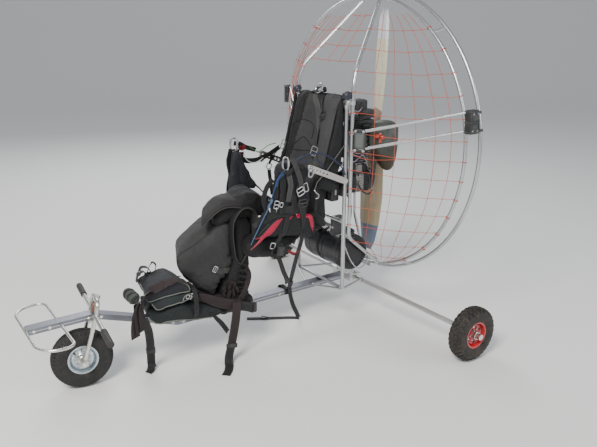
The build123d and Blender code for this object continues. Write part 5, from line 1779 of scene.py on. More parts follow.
# gathered webbing and cloth below each hang point
SIDES = {
    "left": (1, [(845, 708), (880, 735), (888, 800), (890, 858), (902, 884), (930, 898), (975, 896), (1026, 872), (1048, 842), (1036, 790), (1042, 742), (1066, 694), (1010, 702), (930, 704)], 152, 199),
    "right": (-1, [(842, 704), (856, 780), (864, 840), (872, 886), (888, 898), (910, 884), (922, 840), (944, 790), (976, 735), (990, 704)], 168, 197),
}
o_sides = []
for nm, (s, poly, ya, yb) in SIDES.items():
    o = prism("harness_side_" + nm, poly, *sorted((ya * s, yb * s)), 0.014, 3)
    m = o.modifiers.new("r", "REMESH")
    m.mode = "VOXEL"
    m.voxel_size = 0.0075
    apply_mods(o)
    q = o.modifiers.new("s", "SMOOTH")
    q.factor, q.iterations = 0.5, 4
    apply_mods(o)
    q = o.modifiers.new("u", "SUBSURF")
    q.levels = q.render_levels = 1
    apply_mods(o)
    folds(o, 0.0090, (19, 9, 8), 3.0 + s, 1.6)
    folds(o, 0.0034, (40, 20, 20), 7.0 + s, 1.7)
    co = get_co(o)
    co[:, 1] = np.clip(co[:, 1] * s, 0.146, 0.2015) * s
    set_co(o, co)
    paint(o, ("navyblack",), lambda c, n: np.zeros(len(c)))
    ride(o, "frame", "black_fabric")
    o_sides.append(o)
T_SL, T_SR = surface(o_sides[0]), surface(o_sides[1])

b = Build()                       # black webbing
g = Build()                       # grey webbing
br = Build()                      # brown-grey riser webbing
k_ = Build()                      # bright steel fittings
dk = Build()                      # dark plastic fittings

# --- near side: riser from the ring down to its buckles, loops over the bundle
carabiner(k_, (-0.186, 0.212, 0.930), (-0.186, 0.212, 0.872), (0.25, 1, 0), 0.028, 0.0038)
carabiner(k_, (-0.330, 0.2135, 0.870), (-0.322, 0.2135, 0.822), (0.0, 1, 0), 0.026, 0.0036)
br.strap([(-0.232, 0.204, 0.900), (-0.222, 0.212, 0.918), (-0.228, 0.220, 0.900), (-0.245, 0.222, 0.860), (-0.262, 0.221, 0.815), (-0.268, 0.219, 0.780)], (0.9, -0.25, 0.2), 0.024, 0.003)
for x0, z0, x1, z1, y, w in ((-0.185, 0.872, -0.168, 0.720, 0.2055, 0.038), (-0.205, 0.870, -0.232, 0.720, 0.2085, 0.034), (-0.150, 0.850, -0.118, 0.716, 0.2065, 0.034), (-0.262, 0.790, -0.276, 0.690, 0.2135, 0.036)):
    b.strap([(x0, y, z0), ((x0 * 2 + x1) / 3 + 0.006, y + 0.003, (z0 * 2 + z1) / 3), ((x0 + 2 * x1) / 3 - 0.004, y + 0.001, (z0 + 2 * z1) / 3), (x1, y + 0.004, z1), (x1 - 0.002, y + 0.006, z1 - 0.05)], (1, 0.1, 0.1), w, 0.0026)
b.strap([(-0.120, 0.206, 0.838), (-0.085, 0.208, 0.800), (-0.070, 0.210, 0.752), (-0.080, 0.214, 0.705), (-0.098, 0.216, 0.664)], (0.85, 0.15, 0.5), 0.030, 0.0026)
g.strap([(-0.205, 0.213, 0.842), (-0.212, 0.215, 0.800), (-0.204, 0.216, 0.762), (-0.196, 0.217, 0.724)], (1, 0.1, 0.0), 0.030, 0.0026)
b.strap([(-0.140, 0.212, 0.890), (-0.170, 0.215, 0.868), (-0.200, 0.215, 0.862), (-0.232, 0.213, 0.876), (-0.262, 0.211, 0.884), (-0.286, 0.212, 0.872)], (0.1, 0.1, 1), 0.022, 0.0024)
buckle(k_, (-0.262, 0.2215, 0.764), (-0.35, 0, -1), (0, 1, 0.1), 0.038, 0.036, 0.0028)
buckle(k_, (-0.294, 0.2185, 0.778), (-0.25, 0, -1), (0.1, 1, 0), 0.020, 0.040, 0.0026, False)
buckle(k_, (-0.132, 0.2165, 0.720), (0.3, 0, -1), (0, 1, 0), 0.024, 0.034, 0.0026)
buckle(k_, (-0.158, 0.2175, 0.716), (0.3, 0, -1), (0, 1, 0), 0.016, 0.020, 0.0024, False)
buckle(dk, (-0.276, 0.2205, 0.705), (0, 0, -1), (0, 1, 0), 0.044, 0.034, 0.0036)
k_.tube(catmull([(-0.352, 0.208, 0.752), (-0.362, 0.210, 0.738), (-0.374, 0.210, 0.730), (-0.372, 0.209, 0.714), (-0.358, 0.208, 0.712)], 6), 0.0030, 8)

# strap crossing the hip to its ring and buckle, another to the seat front
strap_on(b, L_HIP, [(-0.205, 0.215, 0.690), (-0.190, 0.215, 0.640), (-0.168, 0.215, 0.570), (-0.155, 0.214, 0.530)], 0.026, 0.0024, 0.001, OUT)
b.strap([(-0.155, 0.2155, 0.530), (-0.150, 0.215, 0.500), (-0.146, 0.208, 0.478), (-0.150, 0.190, 0.462), (-0.160, 0.160, 0.456)], (1, 0, 0.2), 0.026, 0.0024)
buckle(k_, (-0.111, 0.2155, 0.528), (0.9, 0, 0.3), (0, 1, 0), 0.026, 0.024, 0.0026, False)
dk.box((-0.150, 0.2185, 0.496), (0.040, 0.012, 0.046), Matrix.Rotation(radians(-12), 3, "Y"), 0.004, 2)
dk.box((-0.150, 0.2255, 0.496), (0.020, 0.003, 0.030), Matrix.Rotation(radians(-12), 3, "Y"), 0.001, 1)
strap_on(b, L_HIP, [(-0.010, 0.214, 0.640), (-0.060, 0.214, 0.655), (-0.130, 0.214, 0.672), (-0.215, 0.214, 0.660)], 0.024, 0.0022, 0.001, OUT)
strap_on(b, L_HIP, [(-0.330, 0.214, 0.625), (-0.345, 0.214, 0.580), (-0.352, 0.214, 0.535)], 0.022, 0.0022, 0.001, OUT)
for s, tree in ((-1, R_HIP),):
    strap_on(b, tree, [(-0.205, 0.215 * s, 0.690), (-0.190, 0.215 * s, 0.640), (-0.168, 0.215 * s, 0.570), (-0.155, 0.214 * s, 0.530)], 0.026, 0.0024, 0.001, (0, s, 0))
    strap_on(b, tree, [(-0.010, 0.214 * s, 0.640), (-0.060, 0.214 * s, 0.655), (-0.130, 0.214 * s, 0.672), (-0.215, 0.214 * s, 0.660)], 0.024, 0.0022, 0.001, (0, s, 0))
    dk.box((-0.158, 0.2165 * s, 0.534), (0.040, 0.010, 0.046), Matrix.Rotation(radians(-12), 3, "Y"), 0.004, 2)

b.strap([(-0.168, 0.2145, 0.600), (-0.150, 0.216, 0.560), (-0.128, 0.212, 0.524), (-0.140, 0.204, 0.486), (-0.168, 0.190, 0.430), (-0.200, 0.170, 0.366), (-0.232, 0.150, 0.312), (-0.262, 0.110, 0.270)], (1, 0.2, 0.3), 0.024, 0.0026)
b.strap([(-0.128, 0.214, 0.520), (-0.112, 0.216, 0.508), (-0.108, 0.212, 0.494), (-0.124, 0.207, 0.478)], (0.3, 0.9, 0.3), 0.018, 0.0026)
# --- far side: ring high in front of the arm, webbing down to the seat
carabiner(k_, (-0.160, -0.208, 0.958), (-0.160, -0.208, 0.892), (0.3, 1, 0), 0.036, 0.0050)
carabiner(k_, (-0.330, -0.2135, 0.870), (-0.322, -0.2135, 0.822), (0.0, 1, 0), 0.026, 0.0036)
for x0, z0, x1, z1, y, w in ((-0.148, 0.905, -0.130, 0.716, -0.206, 0.040), (-0.176, 0.902, -0.176, 0.712, -0.2085, 0.038), (-0.200, 0.885, -0.218, 0.716, -0.2055, 0.034)):
    b.strap([(x0, y, z0), ((x0 * 2 + x1) / 3 + 0.008, y - 0.003, (z0 * 2 + z1) / 3), ((x0 + 2 * x1) / 3 - 0.005, y - 0.001, (z0 + 2 * z1) / 3), (x1, y - 0.004, z1), (x1 - 0.002, y - 0.007, z1 - 0.055)], (1, 0.1, 0.1), w, 0.0026)
b.strap([(-0.162, -0.210, 0.932), (-0.196, -0.214, 0.925), (-0.232, -0.215, 0.905), (-0.262, -0.214, 0.895), (-0.288, -0.213, 0.885)], (0.1, 0.2, 1), 0.024, 0.0024)
b.strap([(-0.160, -0.205, 0.890), (-0.190, -0.206, 0.856), (-0.230, -0.207, 0.838), (-0.290, -0.207, 0.834), (-0.350, -0.200, 0.852), (-0.415, -0.185, 0.890)], (0.1, 0.3, 1), 0.030, 0.0022)
strapd = [(-0.192, -0.206, 0.800), (-0.250, -0.206, 0.735), (-0.310, -0.205, 0.675), (-0.362, -0.202, 0.620), (-0.372, -0.200, 0.600)]
b.strap(strapd, (0.7, 0.1, 0.7), 0.030, 0.0026)
g.strap([(-0.156, -0.209, 0.895), (-0.150, -0.213, 0.870), (-0.140, -0.213, 0.842), (-0.136, -0.211, 0.810)], (1, 0.2, 0), 0.030, 0.0026)
buckle(k_, (-0.138, -0.2135, 0.846), (0, 0, -1), (0, 1, 0), 0.036, 0.034, 0.0028)
buckle(k_, (-0.362, -0.203, 0.793), (0.4, 0, -1), (0, 1, 0), 0.028, 0.026, 0.0028, False)
b.strap([(-0.362, -0.203, 0.782), (-0.366, -0.203, 0.740), (-0.372, -0.200, 0.690), (-0.376, -0.197, 0.640)], (1, 0.1, 0.1), 0.024, 0.0024)
b.strap([(-0.362, -0.203, 0.805), (-0.385, -0.198, 0.845), (-0.420, -0.186, 0.885)], (0.6, 0.1, -0.4), 0.022, 0.0024)
buckle(k_, (-0.440, -0.186, 0.902), (0.4, 0, -1), (0.5, 1, 0), 0.020, 0.046, 0.0026, True)
# white and green lines that hang from the far arm
w = Build()
w.tube(catmull([(-0.212, -0.200, 0.868), (-0.236, -0.203, 0.836), (-0.270, -0.205, 0.822), (-0.305, -0.205, 0.828), (-0.338, -0.204, 0.850)], 8), 0.0022, 8)
w.tube(catmull([(-0.338, -0.2, 0.792), (-0.362, -0.2, 0.776), (-0.386, -0.198, 0.792)], 8), 0.0024, 8)
ride(w.obj("white_line", "whiteline"), "frame", "grey_fabric")
w = Build()
w.tube(catmull([(-0.252, -0.212, 0.905), (-0.276, -0.214, 0.888), (-0.306, -0.213, 0.872), (-0.345, -0.208, 0.862), (-0.392, -0.196, 0.878), (-0.418, -0.188, 0.902)], 8), 0.0026, 8)
w.tube(catmull([(-0.300, -0.213, 0.870), (-0.332, -0.210, 0.884), (-0.360, -0.205, 0.902), (-0.400, -0.192, 0.912)], 8), 0.0022, 8)
ride(w.obj("green_line", "greenline"), "frame", "olive_fabric")
w = Build()
leaf(w, T_SR, [(-0.178, -0.2025, 0.888), (-0.190, -0.2025, 0.880), (-0.205, -0.2025, 0.874)], [0.012, 0.030, 0.010], 0.004, (0, -1, 0))
w.strap([(-0.188, -0.214, 0.934), (-0.196, -0.216, 0.914), (-0.212, -0.216, 0.900), (-0.230, -0.214, 0.908)], (0.5, 0.2, 0.8), 0.024, 0.002)
ride(w.obj("red_pull_tab", "redcloth"), "frame", "red_anodised")

# --- blue lines and the throttle cable on the near side
w = Build()
blue = [(-0.180, 0.214, 0.874), (-0.142, 0.218, 0.842), (-0.118, 0.220, 0.790), (-0.098, 0.221, 0.738)]
w.tube(catmull(blue, 8), lambda t: 0.0034 - 0.0010 * t, 8)
w.tube(catmull([(-0.098, 0.221, 0.738), (-0.070, 0.222, 0.690), (-0.036, 0.220, 0.632), (0.002, 0.215, 0.562)], 8), 0.0024, 8)
w.strap([(-0.172, 0.217, 0.855), (-0.150, 0.219, 0.845), (-0.138, 0.221, 0.830), (-0.132, 0.221, 0.806)], (0.8, 0.1, 0.5), 0.010, 0.003)
ride(w.obj("blue_trim_line", "blueline"), "frame", "navy_fabric")
w = Build()
w.tube(catmull([(-0.105, 0.2225, 0.752), (-0.099, 0.224, 0.738), (-0.090, 0.2245, 0.728), (-0.086, 0.223, 0.716)], 6), lambda t: 0.0052 + 0.001 * sin(pi * t * 3), 10)
w.tube(catmull([(-0.094, 0.2235, 0.728), (-0.064, 0.2245, 0.680), (-0.030, 0.222, 0.622), (0.006, 0.217, 0.556)], 8), 0.0018, 8)
ride(w.obj("pale_blue_line", "paleline"), "frame", "navy_fabric")
w = Build()
w.tube(catmull([(-0.225, 0.206, 0.892), (-0.262, 0.212, 0.918), (-0.335, 0.214, 0.930), (-0.392, 0.216, 0.922), (-0.458, 0.216, 0.886), (-0.512, 0.210, 0.842), (-0.540, 0.202, 0.800)], 10), 0.0036, 10)
w.tube(catmull([(-0.236, 0.208, 0.880), (-0.300, 0.214, 0.902), (-0.352, 0.214, 0.898), (-0.400, 0.206, 0.868), (-0.420, 0.196, 0.820), (-0.428, 0.190, 0.770)], 10), 0.0026, 8)
ride(w.obj("throttle_cable", "cable_blue"), "frame", "navy_fabric")
w = Build()
w.tube([(-0.532, 0.2, 0.946), (-0.470, 0.204, 0.886), (-0.423, 0.208, 0.838), (-0.366, 0.209, 0.790), (-0.352, 0.209, 0.756)], 0.0019, 8)
ride(w.obj("thin_stay_line", "piping"), "frame", "grey_fabric")

# --- shoulder strap and chest strap on the seat back
F = GREEN_DIR
strap_on(g, T_BACK, [(-0.527, -0.030, 1.184), (-0.519, -0.030, 1.155), (-0.508, 0.004, 1.120), (-0.495, 0.030, 1.080), (-0.478, 0.052, 1.024), (-0.462, 0.070, 0.975), (-0.447, 0.086, 0.928)], 0.036, 0.0050, 0.002, F)
strap_on(g, T_BACK, [(-0.446, 0.088, 0.915), (-0.438, 0.104, 0.890), (-0.430, 0.120, 0.862), (-0.424, 0.140, 0.838)], 0.030, 0.0030, 0.002, F)
strap_on(b, T_BACK, [(-0.524, -0.060, 1.186), (-0.522, -0.020, 1.178), (-0.520, 0.020, 1.168), (-0.508, 0.060, 1.125), (-0.497, 0.088, 1.086)], 0.022, 0.0028, 0.006, F)
strap_on(b, T_BACK, [(-0.492, 0.090, 1.068), (-0.480, 0.090, 1.030), (-0.466, 0.094, 0.985), (-0.450, 0.098, 0.935)], 0.012, 0.0022, 0.007, F)
nF = Vector(F)
buckle(dk, V(-0.494, 0.090, 1.076) + nF * 0.012, (-0.29, 0, 0.957), F, 0.034, 0.038, 0.0036)
buckle(k_, V(-0.445, 0.088, 0.908) + nF * 0.010, (-0.29, 0.1, 0.957), F, 0.044, 0.042, 0.0032)
strap_on(b, T_BACK, [(-0.425, 0.150, 0.845), (-0.40, 0.150, 0.770), (-0.385, 0.150, 0.690), (-0.372, 0.150, 0.610)], 0.030, 0.0026, 0.002, F)
for s in (1, -1):
    strap_on(b, T_BASE, [(-0.02, 0.10 * s, 0.555), (-0.12, 0.10 * s, 0.56), (-0.22, 0.10 * s, 0.56), (-0.33, 0.10 * s, 0.55)], 0.030, 0.0024, 0.001, (0, 0, 1))

# straps at the back of the seat to the frame
for s in (1, -1):
    for z in (1.10, 0.93, 0.76):
        q, n = on_surface(T_BACK, (-0.57, 0.172 * s, z), 0.002)
        b.strap([q + V(0.02, 0, 0), q, (-0.546, 0.190 * s, z - 0.002), (-0.556, 0.194 * s, z - 0.004)], (0, 0, 1), 0.024, 0.0024)

ride(b.obj("harness_webbing", "web_black"), "frame", "black_fabric")
ride(g.obj("grey_harness_webbing", "web_grey"), "frame", "grey_fabric")
ride(br.obj("riser_webbing", "web_brown"), "frame", "grey_fabric")
ride(k_.obj("harness_fittings", "steel"), "frame", "zinc_steel")
ride(dk.obj("harness_dark_buckles", "black"), "frame", "black_plastic")

# --- satin accents on the hip panels
w = Build()
for s, tree in ((1, L_HIP), (-1, R_HIP)):
    leaf(w, tree, [(0.000, 0.213 * s, 0.536), (-0.045, 0.213 * s, 0.568), (-0.092, 0.213 * s, 0.601), (-0.130, 0.213 * s, 0.630), (-0.162, 0.213 * s, 0.650)], [0.003, 0.017, 0.033, 0.036, 0.026, 0.005], 0.0035, (0, s, 0))
    w.strap([(-0.066, 0.2150 * s, 0.584), (-0.044, 0.2148 * s, 0.565), (-0.022, 0.2120 * s, 0.547), (0.000, 0.2060 * s, 0.529)], (0.5, 0.1 * s, 0.85), lambda t: 0.018 * (1 - t) + 0.002, 0.004)
    leaf(w, tree, [(-0.246, 0.213 * s, 0.640), (-0.275, 0.213 * s, 0.655), (-0.303, 0.213 * s, 0.656), (-0.322, 0.213 * s, 0.632), (-0.334, 0.213 * s, 0.590), (-0.344, 0.213 * s, 0.548)], [0.012, 0.034, 0.040, 0.030, 0.024, 0.020, 0.004], 0.0035, (0, s, 0))
    leaf(w, tree, [(-0.192, 0.213 * s, 0.630), (-0.205, 0.213 * s, 0.645), (-0.222, 0.213 * s, 0.650)], [0.006, 0.014, 0.005], 0.002, (0, s, 0))
ride(w.obj("hip_accents", "crimson"), "frame", "red_anodised")
w = Build()
for s, tree in ((1, L_HIP), (-1, R_HIP)):
    piping_on(w, tree, [(0.004, 0.213 * s, 0.548), (-0.045, 0.213 * s, 0.586), (-0.090, 0.213 * s, 0.622), (-0.135, 0.213 * s, 0.652), (-0.165, 0.213 * s, 0.664)], 0.0022, (0, s, 0))
    piping_on(w, tree, [(0.000, 0.213 * s, 0.560), (-0.045, 0.213 * s, 0.602), (-0.090, 0.213 * s, 0.638)], 0.0018, (0, s, 0))
ride(w.obj("hip_piping", "piping_dim"), "frame", "grey_fabric")
w = Build()
w.strap([(-0.236, 0.160, 0.462), (-0.248, 0.172, 0.450), (-0.262, 0.180, 0.447), (-0.282, 0.182, 0.456)], (0.3, 0.6, 0.6), 0.034, 0.003)
ride(w.obj("red_under_seat_tab", "redcloth"), "frame", "red_anodised")

# ---- rear of the seat: a soft roll that fills behind the hip panel
w = Build()
for s in (1, -1):
    rows = []
    for i in range(17):
        u = i / 16
        x = -0.362 - 0.074 * u
        z = 0.618 - 0.046 * u
        rr = 0.034 * sin(pi * (0.08 + 0.84 * u)) ** 0.6
        rows.append([V(x, (0.168 + 0.010 * u) * s, z) + V(sin(a) * 0.25 * rr, cos(a) * rr * 0.62, sin(a) * rr * (1 + 0.15 * noise.noise((u * 5, a, 2)))) for a in [2 * pi * k / 20 for k in range(20)]])
    w.grid(rows, close_v=True)
    w.cap(rows[0], flat=False)
    w.cap(rows[-1], flip=True, flat=False)
o = w.obj("seat_rear_rolls", "blackfab", autosmooth=80)
ride(o, "frame", "black_fabric")

# black side cloth of the seat back, drawn back to the posts
w = Build()
for s in (1, -1):
    w.strap([(-0.566, 0.139 * s, 0.872), (-0.567, 0.137 * s, 0.960), (-0.568, 0.136 * s, 1.060), (-0.568, 0.135 * s, 1.150)], (1, 0, 0), 0.080, 0.003)
ride(w.obj("seat_side_cloths", "blackfab"), "frame", "black_fabric")


# ============================================ straps and buckles round the boom
m_ = Build()
b = Build()
g = Build()
k_ = Build()
dk = Build()

UP = (0, 0, 1)
# wide tape over the top cushion, down its front corner in two tails
strap_on(m_, T_CA, [(0.285, 0.120, 0.400), (0.330, 0.128, 0.425), (0.386, 0.136, 0.434), (0.430, 0.141, 0.430), (0.462, 0.142, 0.418)], 0.040, 0.0030, 0.003, UP)
m_.strap([(0.456, 0.146, 0.424), (0.482, 0.150, 0.412), (0.500, 0.152, 0.392), (0.508, 0.150, 0.360), (0.506, 0.146, 0.322), (0.503, 0.142, 0.285), (0.500, 0.138, 0.246)], [(0.1, 1, 0.5), (0.4, 1, 0.4), (0.6, 1, 0.2), (0.8, 0.7, 0), (0.9, 0.5, 0), (0.9, 0.4, 0), (0.9, 0.3, 0)], lambda t: 0.044 - 0.010 * t, 0.003)
m_.strap([(0.470, 0.150, 0.408), (0.500, 0.160, 0.400), (0.520, 0.162, 0.386), (0.531, 0.156, 0.350), (0.537, 0.148, 0.300), (0.538, 0.142, 0.255), (0.536, 0.138, 0.222)], [(0.3, 1, 0.4), (0.5, 1, 0.4), (0.7, 0.8, 0.2), (0.9, 0.5, 0), (1, 0.35, 0), (1, 0.3, 0), (1, 0.3, 0)], lambda t: 0.036 + 0.010 * t, 0.003)
m_.strap([(0.528, 0.150, 0.382), (0.530, 0.152, 0.340), (0.527, 0.146, 0.290), (0.524, 0.138, 0.236)], (1, 0.5, 0), 0.030, 0.003)
# strap to the ground at the left
b.strap([(0.498, 0.140, 0.300), (0.480, 0.118, 0.262), (0.462, 0.094, 0.215), (0.450, 0.072, 0.150), (0.446, 0.060, 0.080), (0.444, 0.052, 0.028), (0.438, 0.046, 0.006)], [(1, -0.2, 0), (1, -0.4, 0), (1, -0.5, 0), (1, -0.5, 0), (1, -0.4, 0), (1, -0.4, 0), (1, -0.4, 0.1)], 0.037, 0.003)
b.strap([(0.442, 0.054, 0.030), (0.449, 0.060, 0.016), (0.458, 0.070, 0.006), (0.472, 0.078, 0.0030)], (0.8, -0.6, 0), 0.036, 0.003)
dk.box((0.4455, 0.060, 0.100), (0.042, 0.010, 0.030), Matrix.Rotation(radians(-25), 3, "Z"), 0.003, 2)
# wide dark band round the mouth of the bag, ending in a folded block
m_.strap([(0.232, 0.128, 0.330), (0.196, 0.142, 0.318), (0.160, 0.152, 0.298), (0.120, 0.158, 0.280), (0.075, 0.160, 0.262), (0.030, 0.158, 0.242), (-0.010, 0.150, 0.226)], (0.1, 0.25, 1), lambda t: 0.040 + 0.018 * sin(pi * t), 0.006)
b.strap([(0.060, 0.164, 0.258), (0.010, 0.168, 0.240), (-0.028, 0.162, 0.222), (-0.036, 0.140, 0.214), (-0.030, 0.100, 0.212)], (0.1, 0.2, 1), 0.050, 0.006)
dk.box((-0.036, 0.150, 0.220), (0.020, 0.040, 0.046), Matrix.Rotation(radians(20), 3, "Z"), 0.004, 2)
# strap to the ground at the right, through a ladder buckle
rs = [(0.052, 0.150, 0.282), (0.064, 0.176, 0.272), (0.075, 0.190, 0.230), (0.088, 0.196, 0.175), (0.102, 0.199, 0.120), (0.112, 0.200, 0.082)]
m_.strap(rs, [(1, -0.3, 0)] * 6, 0.040, 0.0032)
b.strap([(0.110, 0.203, 0.092), (0.118, 0.204, 0.070), (0.128, 0.206, 0.040), (0.136, 0.214, 0.014), (0.146, 0.236, 0.0034), (0.168, 0.268, 0.0024), (0.196, 0.296, 0.0022)], [(1, -0.3, 0), (1, -0.3, 0), (1, -0.3, 0), (1, -0.4, 0), (0.9, -0.6, 0), (0.85, -0.65, 0), (0.85, -0.65, 0)], 0.040, 0.0032)
dk.box((0.1115, 0.2035, 0.082), (0.052, 0.012, 0.022), Matrix.Rotation(radians(-18), 3, "Z"), 0.004, 2)
# short strap to the side
b.strap([(0.176, 0.140, 0.246), (0.164, 0.150, 0.222), (0.140, 0.152, 0.190), (0.118, 0.150, 0.158), (0.100, 0.148, 0.128)], (0.8, 0.2, 0.5), 0.026, 0.0028)
# long strap from the seat side over the boom to the ground and along it
vs = [(-0.262, 0.222, 0.706), (-0.276, 0.222, 0.650), (-0.286, 0.216, 0.592), (-0.280, 0.205, 0.520), (-0.272, 0.180, 0.440), (-0.286, 0.130, 0.350), (-0.304, 0.080, 0.270), (-0.316, 0.052, 0.222), (-0.325, 0.040, 0.180), (-0.345, 0.034, 0.110), (-0.378, 0.026, 0.042), (-0.395, 0.018, 0.010)]
b.strap(vs, [(1, 0.2, 0.1)] * 12, lambda t: 0.032 - 0.006 * t, 0.003)
b.strap([(-0.394, 0.018, 0.012), (-0.398, 0.010, 0.0035), (-0.372, -0.014, 0.0022), (-0.320, -0.046, 0.0022), (-0.262, -0.080, 0.0022), (-0.210, -0.112, 0.0022), (-0.170, -0.138, 0.0022)], (0.5, 0.85, 0), 0.030, 0.003)
b.strap([(-0.300, 0.090, 0.262), (-0.318, 0.034, 0.200), (-0.322, 0.0, 0.194), (-0.318, -0.034, 0.198), (-0.312, -0.036, 0.168), (-0.316, 0.0, 0.162), (-0.318, 0.032, 0.170)], (1, 0, 0.1), 0.026, 0.003)
dk.box((-0.246, -0.090, 0.0065), (0.026, 0.034, 0.009), Matrix.Rotation(radians(32), 3, "Z"), 0.003, 2)
# thin ties round the boom behind the bag
for x in (-0.078, -0.100):
    zc = 0.179
    ring = [(x, 0.028, zc + 0.015), (x, 0.0, zc + 0.0165), (x, -0.028, zc + 0.015), (x, -0.0285, zc - 0.014), (x, 0.0, zc - 0.0160), (x, 0.0285, zc - 0.014), (x, 0.028, zc + 0.015)]
    b.strap(ring, (1, 0, 0), 0.012, 0.002, 4)
b.strap([(-0.078, 0.030, 0.178), (-0.060, 0.070, 0.200), (-0.040, 0.110, 0.212)], (0.3, 0, 1), 0.020, 0.0026)
# grey-green tape with a small buckle on the bag
g_line = [(0.152, 0.122, 0.448), (0.122, 0.124, 0.430), (0.088, 0.124, 0.424), (0.050, 0.122, 0.404), (0.018, 0.120, 0.400)]
strap_on(g, T_BAG, g_line, 0.026, 0.0028, 0.0015, OUT)
q, n = on_surface(T_BAG, (0.146, 0.124, 0.446), 0.005, OUT)
buckle(k_, q, (0.8, 0, 0.5), n, 0.026, 0.020, 0.0024)
q, n = on_surface(T_BAG, (0.122, 0.124, 0.430), 0.006, OUT)
dk.box(q, (0.030, 0.010, 0.026), Matrix.Rotation(radians(-30), 3, "Y"), 0.003, 2)

# bundle of webbing ends in the drawn mouth
for i in range(7):
    a = i * 0.9
    p0 = V(0.066, 0.070, 0.338) + V(cos(a) * 0.010, 0, sin(a) * 0.010)
    p1 = V(0.066, 0.108, 0.338) + V(cos(a) * 0.020, 0.004 * (i % 3), sin(a) * 0.018)
    p2 = V(0.066, 0.118, 0.330) + V(cos(a + 0.5) * 0.034, 0.006 * (i % 2), sin(a + 0.5) * 0.028 - 0.006)
    m_.strap([p0, p1, p2, p2 + V(0.006 * (i % 3 - 1), 0.004, -0.022)], (cos(a), 0.2, sin(a)), 0.014 + 0.003 * (i % 3), 0.0022)
for i in range(5):
    z = 0.440 - 0.030 * i
    pts = [(0.022 + 0.006 * (i % 2), 0.118, z), (-0.008, 0.131, z - 0.012), (-0.020, 0.128, z - 0.034), (-0.004, 0.120, z - 0.058)]
    b.strap(pts, (0.5, 0.3, 0.8), 0.022, 0.003)
m_.strap([(-0.020, 0.120, 0.420), (-0.030, 0.132, 0.380), (-0.018, 0.138, 0.338), (0.004, 0.142, 0.300), (0.030, 0.148, 0.272)], (1, 0.1, 0.3), 0.030, 0.003)
# loose ends standing on the top cushion
m_.strap([(0.462, -0.010, 0.412), (0.452, -0.010, 0.440), (0.430, -0.012, 0.452), (0.412, -0.014, 0.438), (0.400, -0.016, 0.424)], (0.2, 1, 0.1), 0.034, 0.0026)
m_.strap([(0.398, -0.040, 0.426), (0.386, -0.044, 0.452), (0.366, -0.048, 0.468), (0.350, -0.052, 0.452), (0.352, -0.056, 0.428)], (0.5, 1, 0.2), 0.030, 0.0026)
b.strap([(0.430, -0.070, 0.420), (0.410, -0.076, 0.446), (0.384, -0.080, 0.440), (0.366, -0.086, 0.420)], (0.2, 1, 0.0), 0.028, 0.0026)
k_.tube([V(0.446, -0.018, 0.442) + V(cos(a) * 0.010, 0, sin(a) * 0.010) for a in [2 * pi * k / 16 for k in range(16)]], 0.002, 8, closed=True)
# clips in the open end of the middle cushion
for x, z in ((0.290, 0.352), (0.276, 0.342), (0.262, 0.350)):
    q, n = on_surface(T_CB, (x, 0.15, z), 0.004, OUT)
    buckle(k_, q, (1, 0, 0.4), n, 0.016, 0.014, 0.0020, False)
for s in (1, -1):
    # cinch straps round the cushion stack
    for x in (0.395, 0.255):
        if s > 0 and x > 0.3:
            continue
        ya, yb, yc = (0.06, 0.130, 0.152) if s > 0 else (-0.015, -0.050, -0.0635)
        top = 0.438 if x > 0.3 else 0.385
        b.strap([(x, ya, top), (x, yb, top - 0.006 if s > 0 else top - 0.012), (x, yc, 0.400 if x > 0.3 else 0.350), (x, yc + 0.001 * s, 0.330), (x, yc, 0.270), (x, yb, 0.236), (x, ya, 0.228)], (1, 0, 0), 0.022, 0.0026)

ride(m_.obj("maroon_boom_straps", "web_maroon"), "frame", "navy_fabric")
o = b.obj("black_boom_straps", "web_black")
for v in o.data.vertices:                  # strap ends lie on the ground, not in it
    v.co.z = max(v.co.z, 0.0006)
ride(o, "frame", "black_fabric")
ride(g.obj("bag_buckle_strap", "web_green"), "frame", "olive_fabric")
ride(k_.obj("boom_bag_fittings", "steel"), "frame", "zinc_steel")
ride(dk.obj("boom_strap_buckles", "black"), "frame", "black_plastic")

# mouth of the middle cushion: a dark lipped opening
w = Build()
lip = [(0.300, 0.362), (0.268, 0.366), (0.245, 0.356), (0.244, 0.344), (0.262, 0.332), (0.292, 0.330), (0.312, 0.342)]
ring = []
for x, z in lip:
    q, n = on_surface(T_CB, (x, 0.15, z), 0.0015, OUT)
    ring.append(q)
ring = catmull(ring, 5, closed=True)
c = sum(ring, Vector()) / len(ring)
w.mat(0)
w.grid([ring, [c + (p - c) * 0.86 + V(0, 0.003, 0) for p in ring], [c + (p - c) * 0.6 + V(0, -0.006, 0) for p in ring]], close_v=True)
w.cap([c + (p - c) * 0.6 + V(0, -0.006, 0) for p in ring], flat=False)
w.mat(1)
w.tube([p + V(0, 0.002, 0) for p in ring], 0.0026, 8, closed=True)
ride(w.obj("cushion_opening", ("blackfab", "olivepipe")), "frame", "black_fabric")


# ================================================ guard net, cords tied to the cage
def net_inner(z, s):
    rail = [(0.272, -0.818, 0.157), (0.482, -0.558, 0.217), (1.225, -0.562, 0.219), (1.300, -0.588, 0.206), (1.611, -0.850, 0.058)]
    for (z0, x0, y0), (z1, x1, y1) in zip(rail[:-1], rail[1:]):
        if z <= z1:
            t = max(0.0, (z - z0) / (z1 - z0))
            return V(x0 + (x1 - x0) * t - 0.004, (y0 + (y1 - y0) * t) * s + 0.009 * s, z)
    return V(-0.85, 0.058 * s, z)


def net_outer(z, s):
    return V(-0.8095, sqrt(max(0.0, 0.6800 ** 2 - (z - 0.942) ** 2)) * s, z)


def net_point(u, z, s):
    a, c = net_inner(z, s), net_outer(z, s)
    p = a.lerp(c, u)
    bow = sin(pi * u)
    p.z -= 0.010 * bow
    p.x += 0.004 * bow * noise.noise((u * 4, z * 5, s))
    p.z += 0.006 * bow * noise.noise((u * 5, z * 7, 3 * s))
    return p


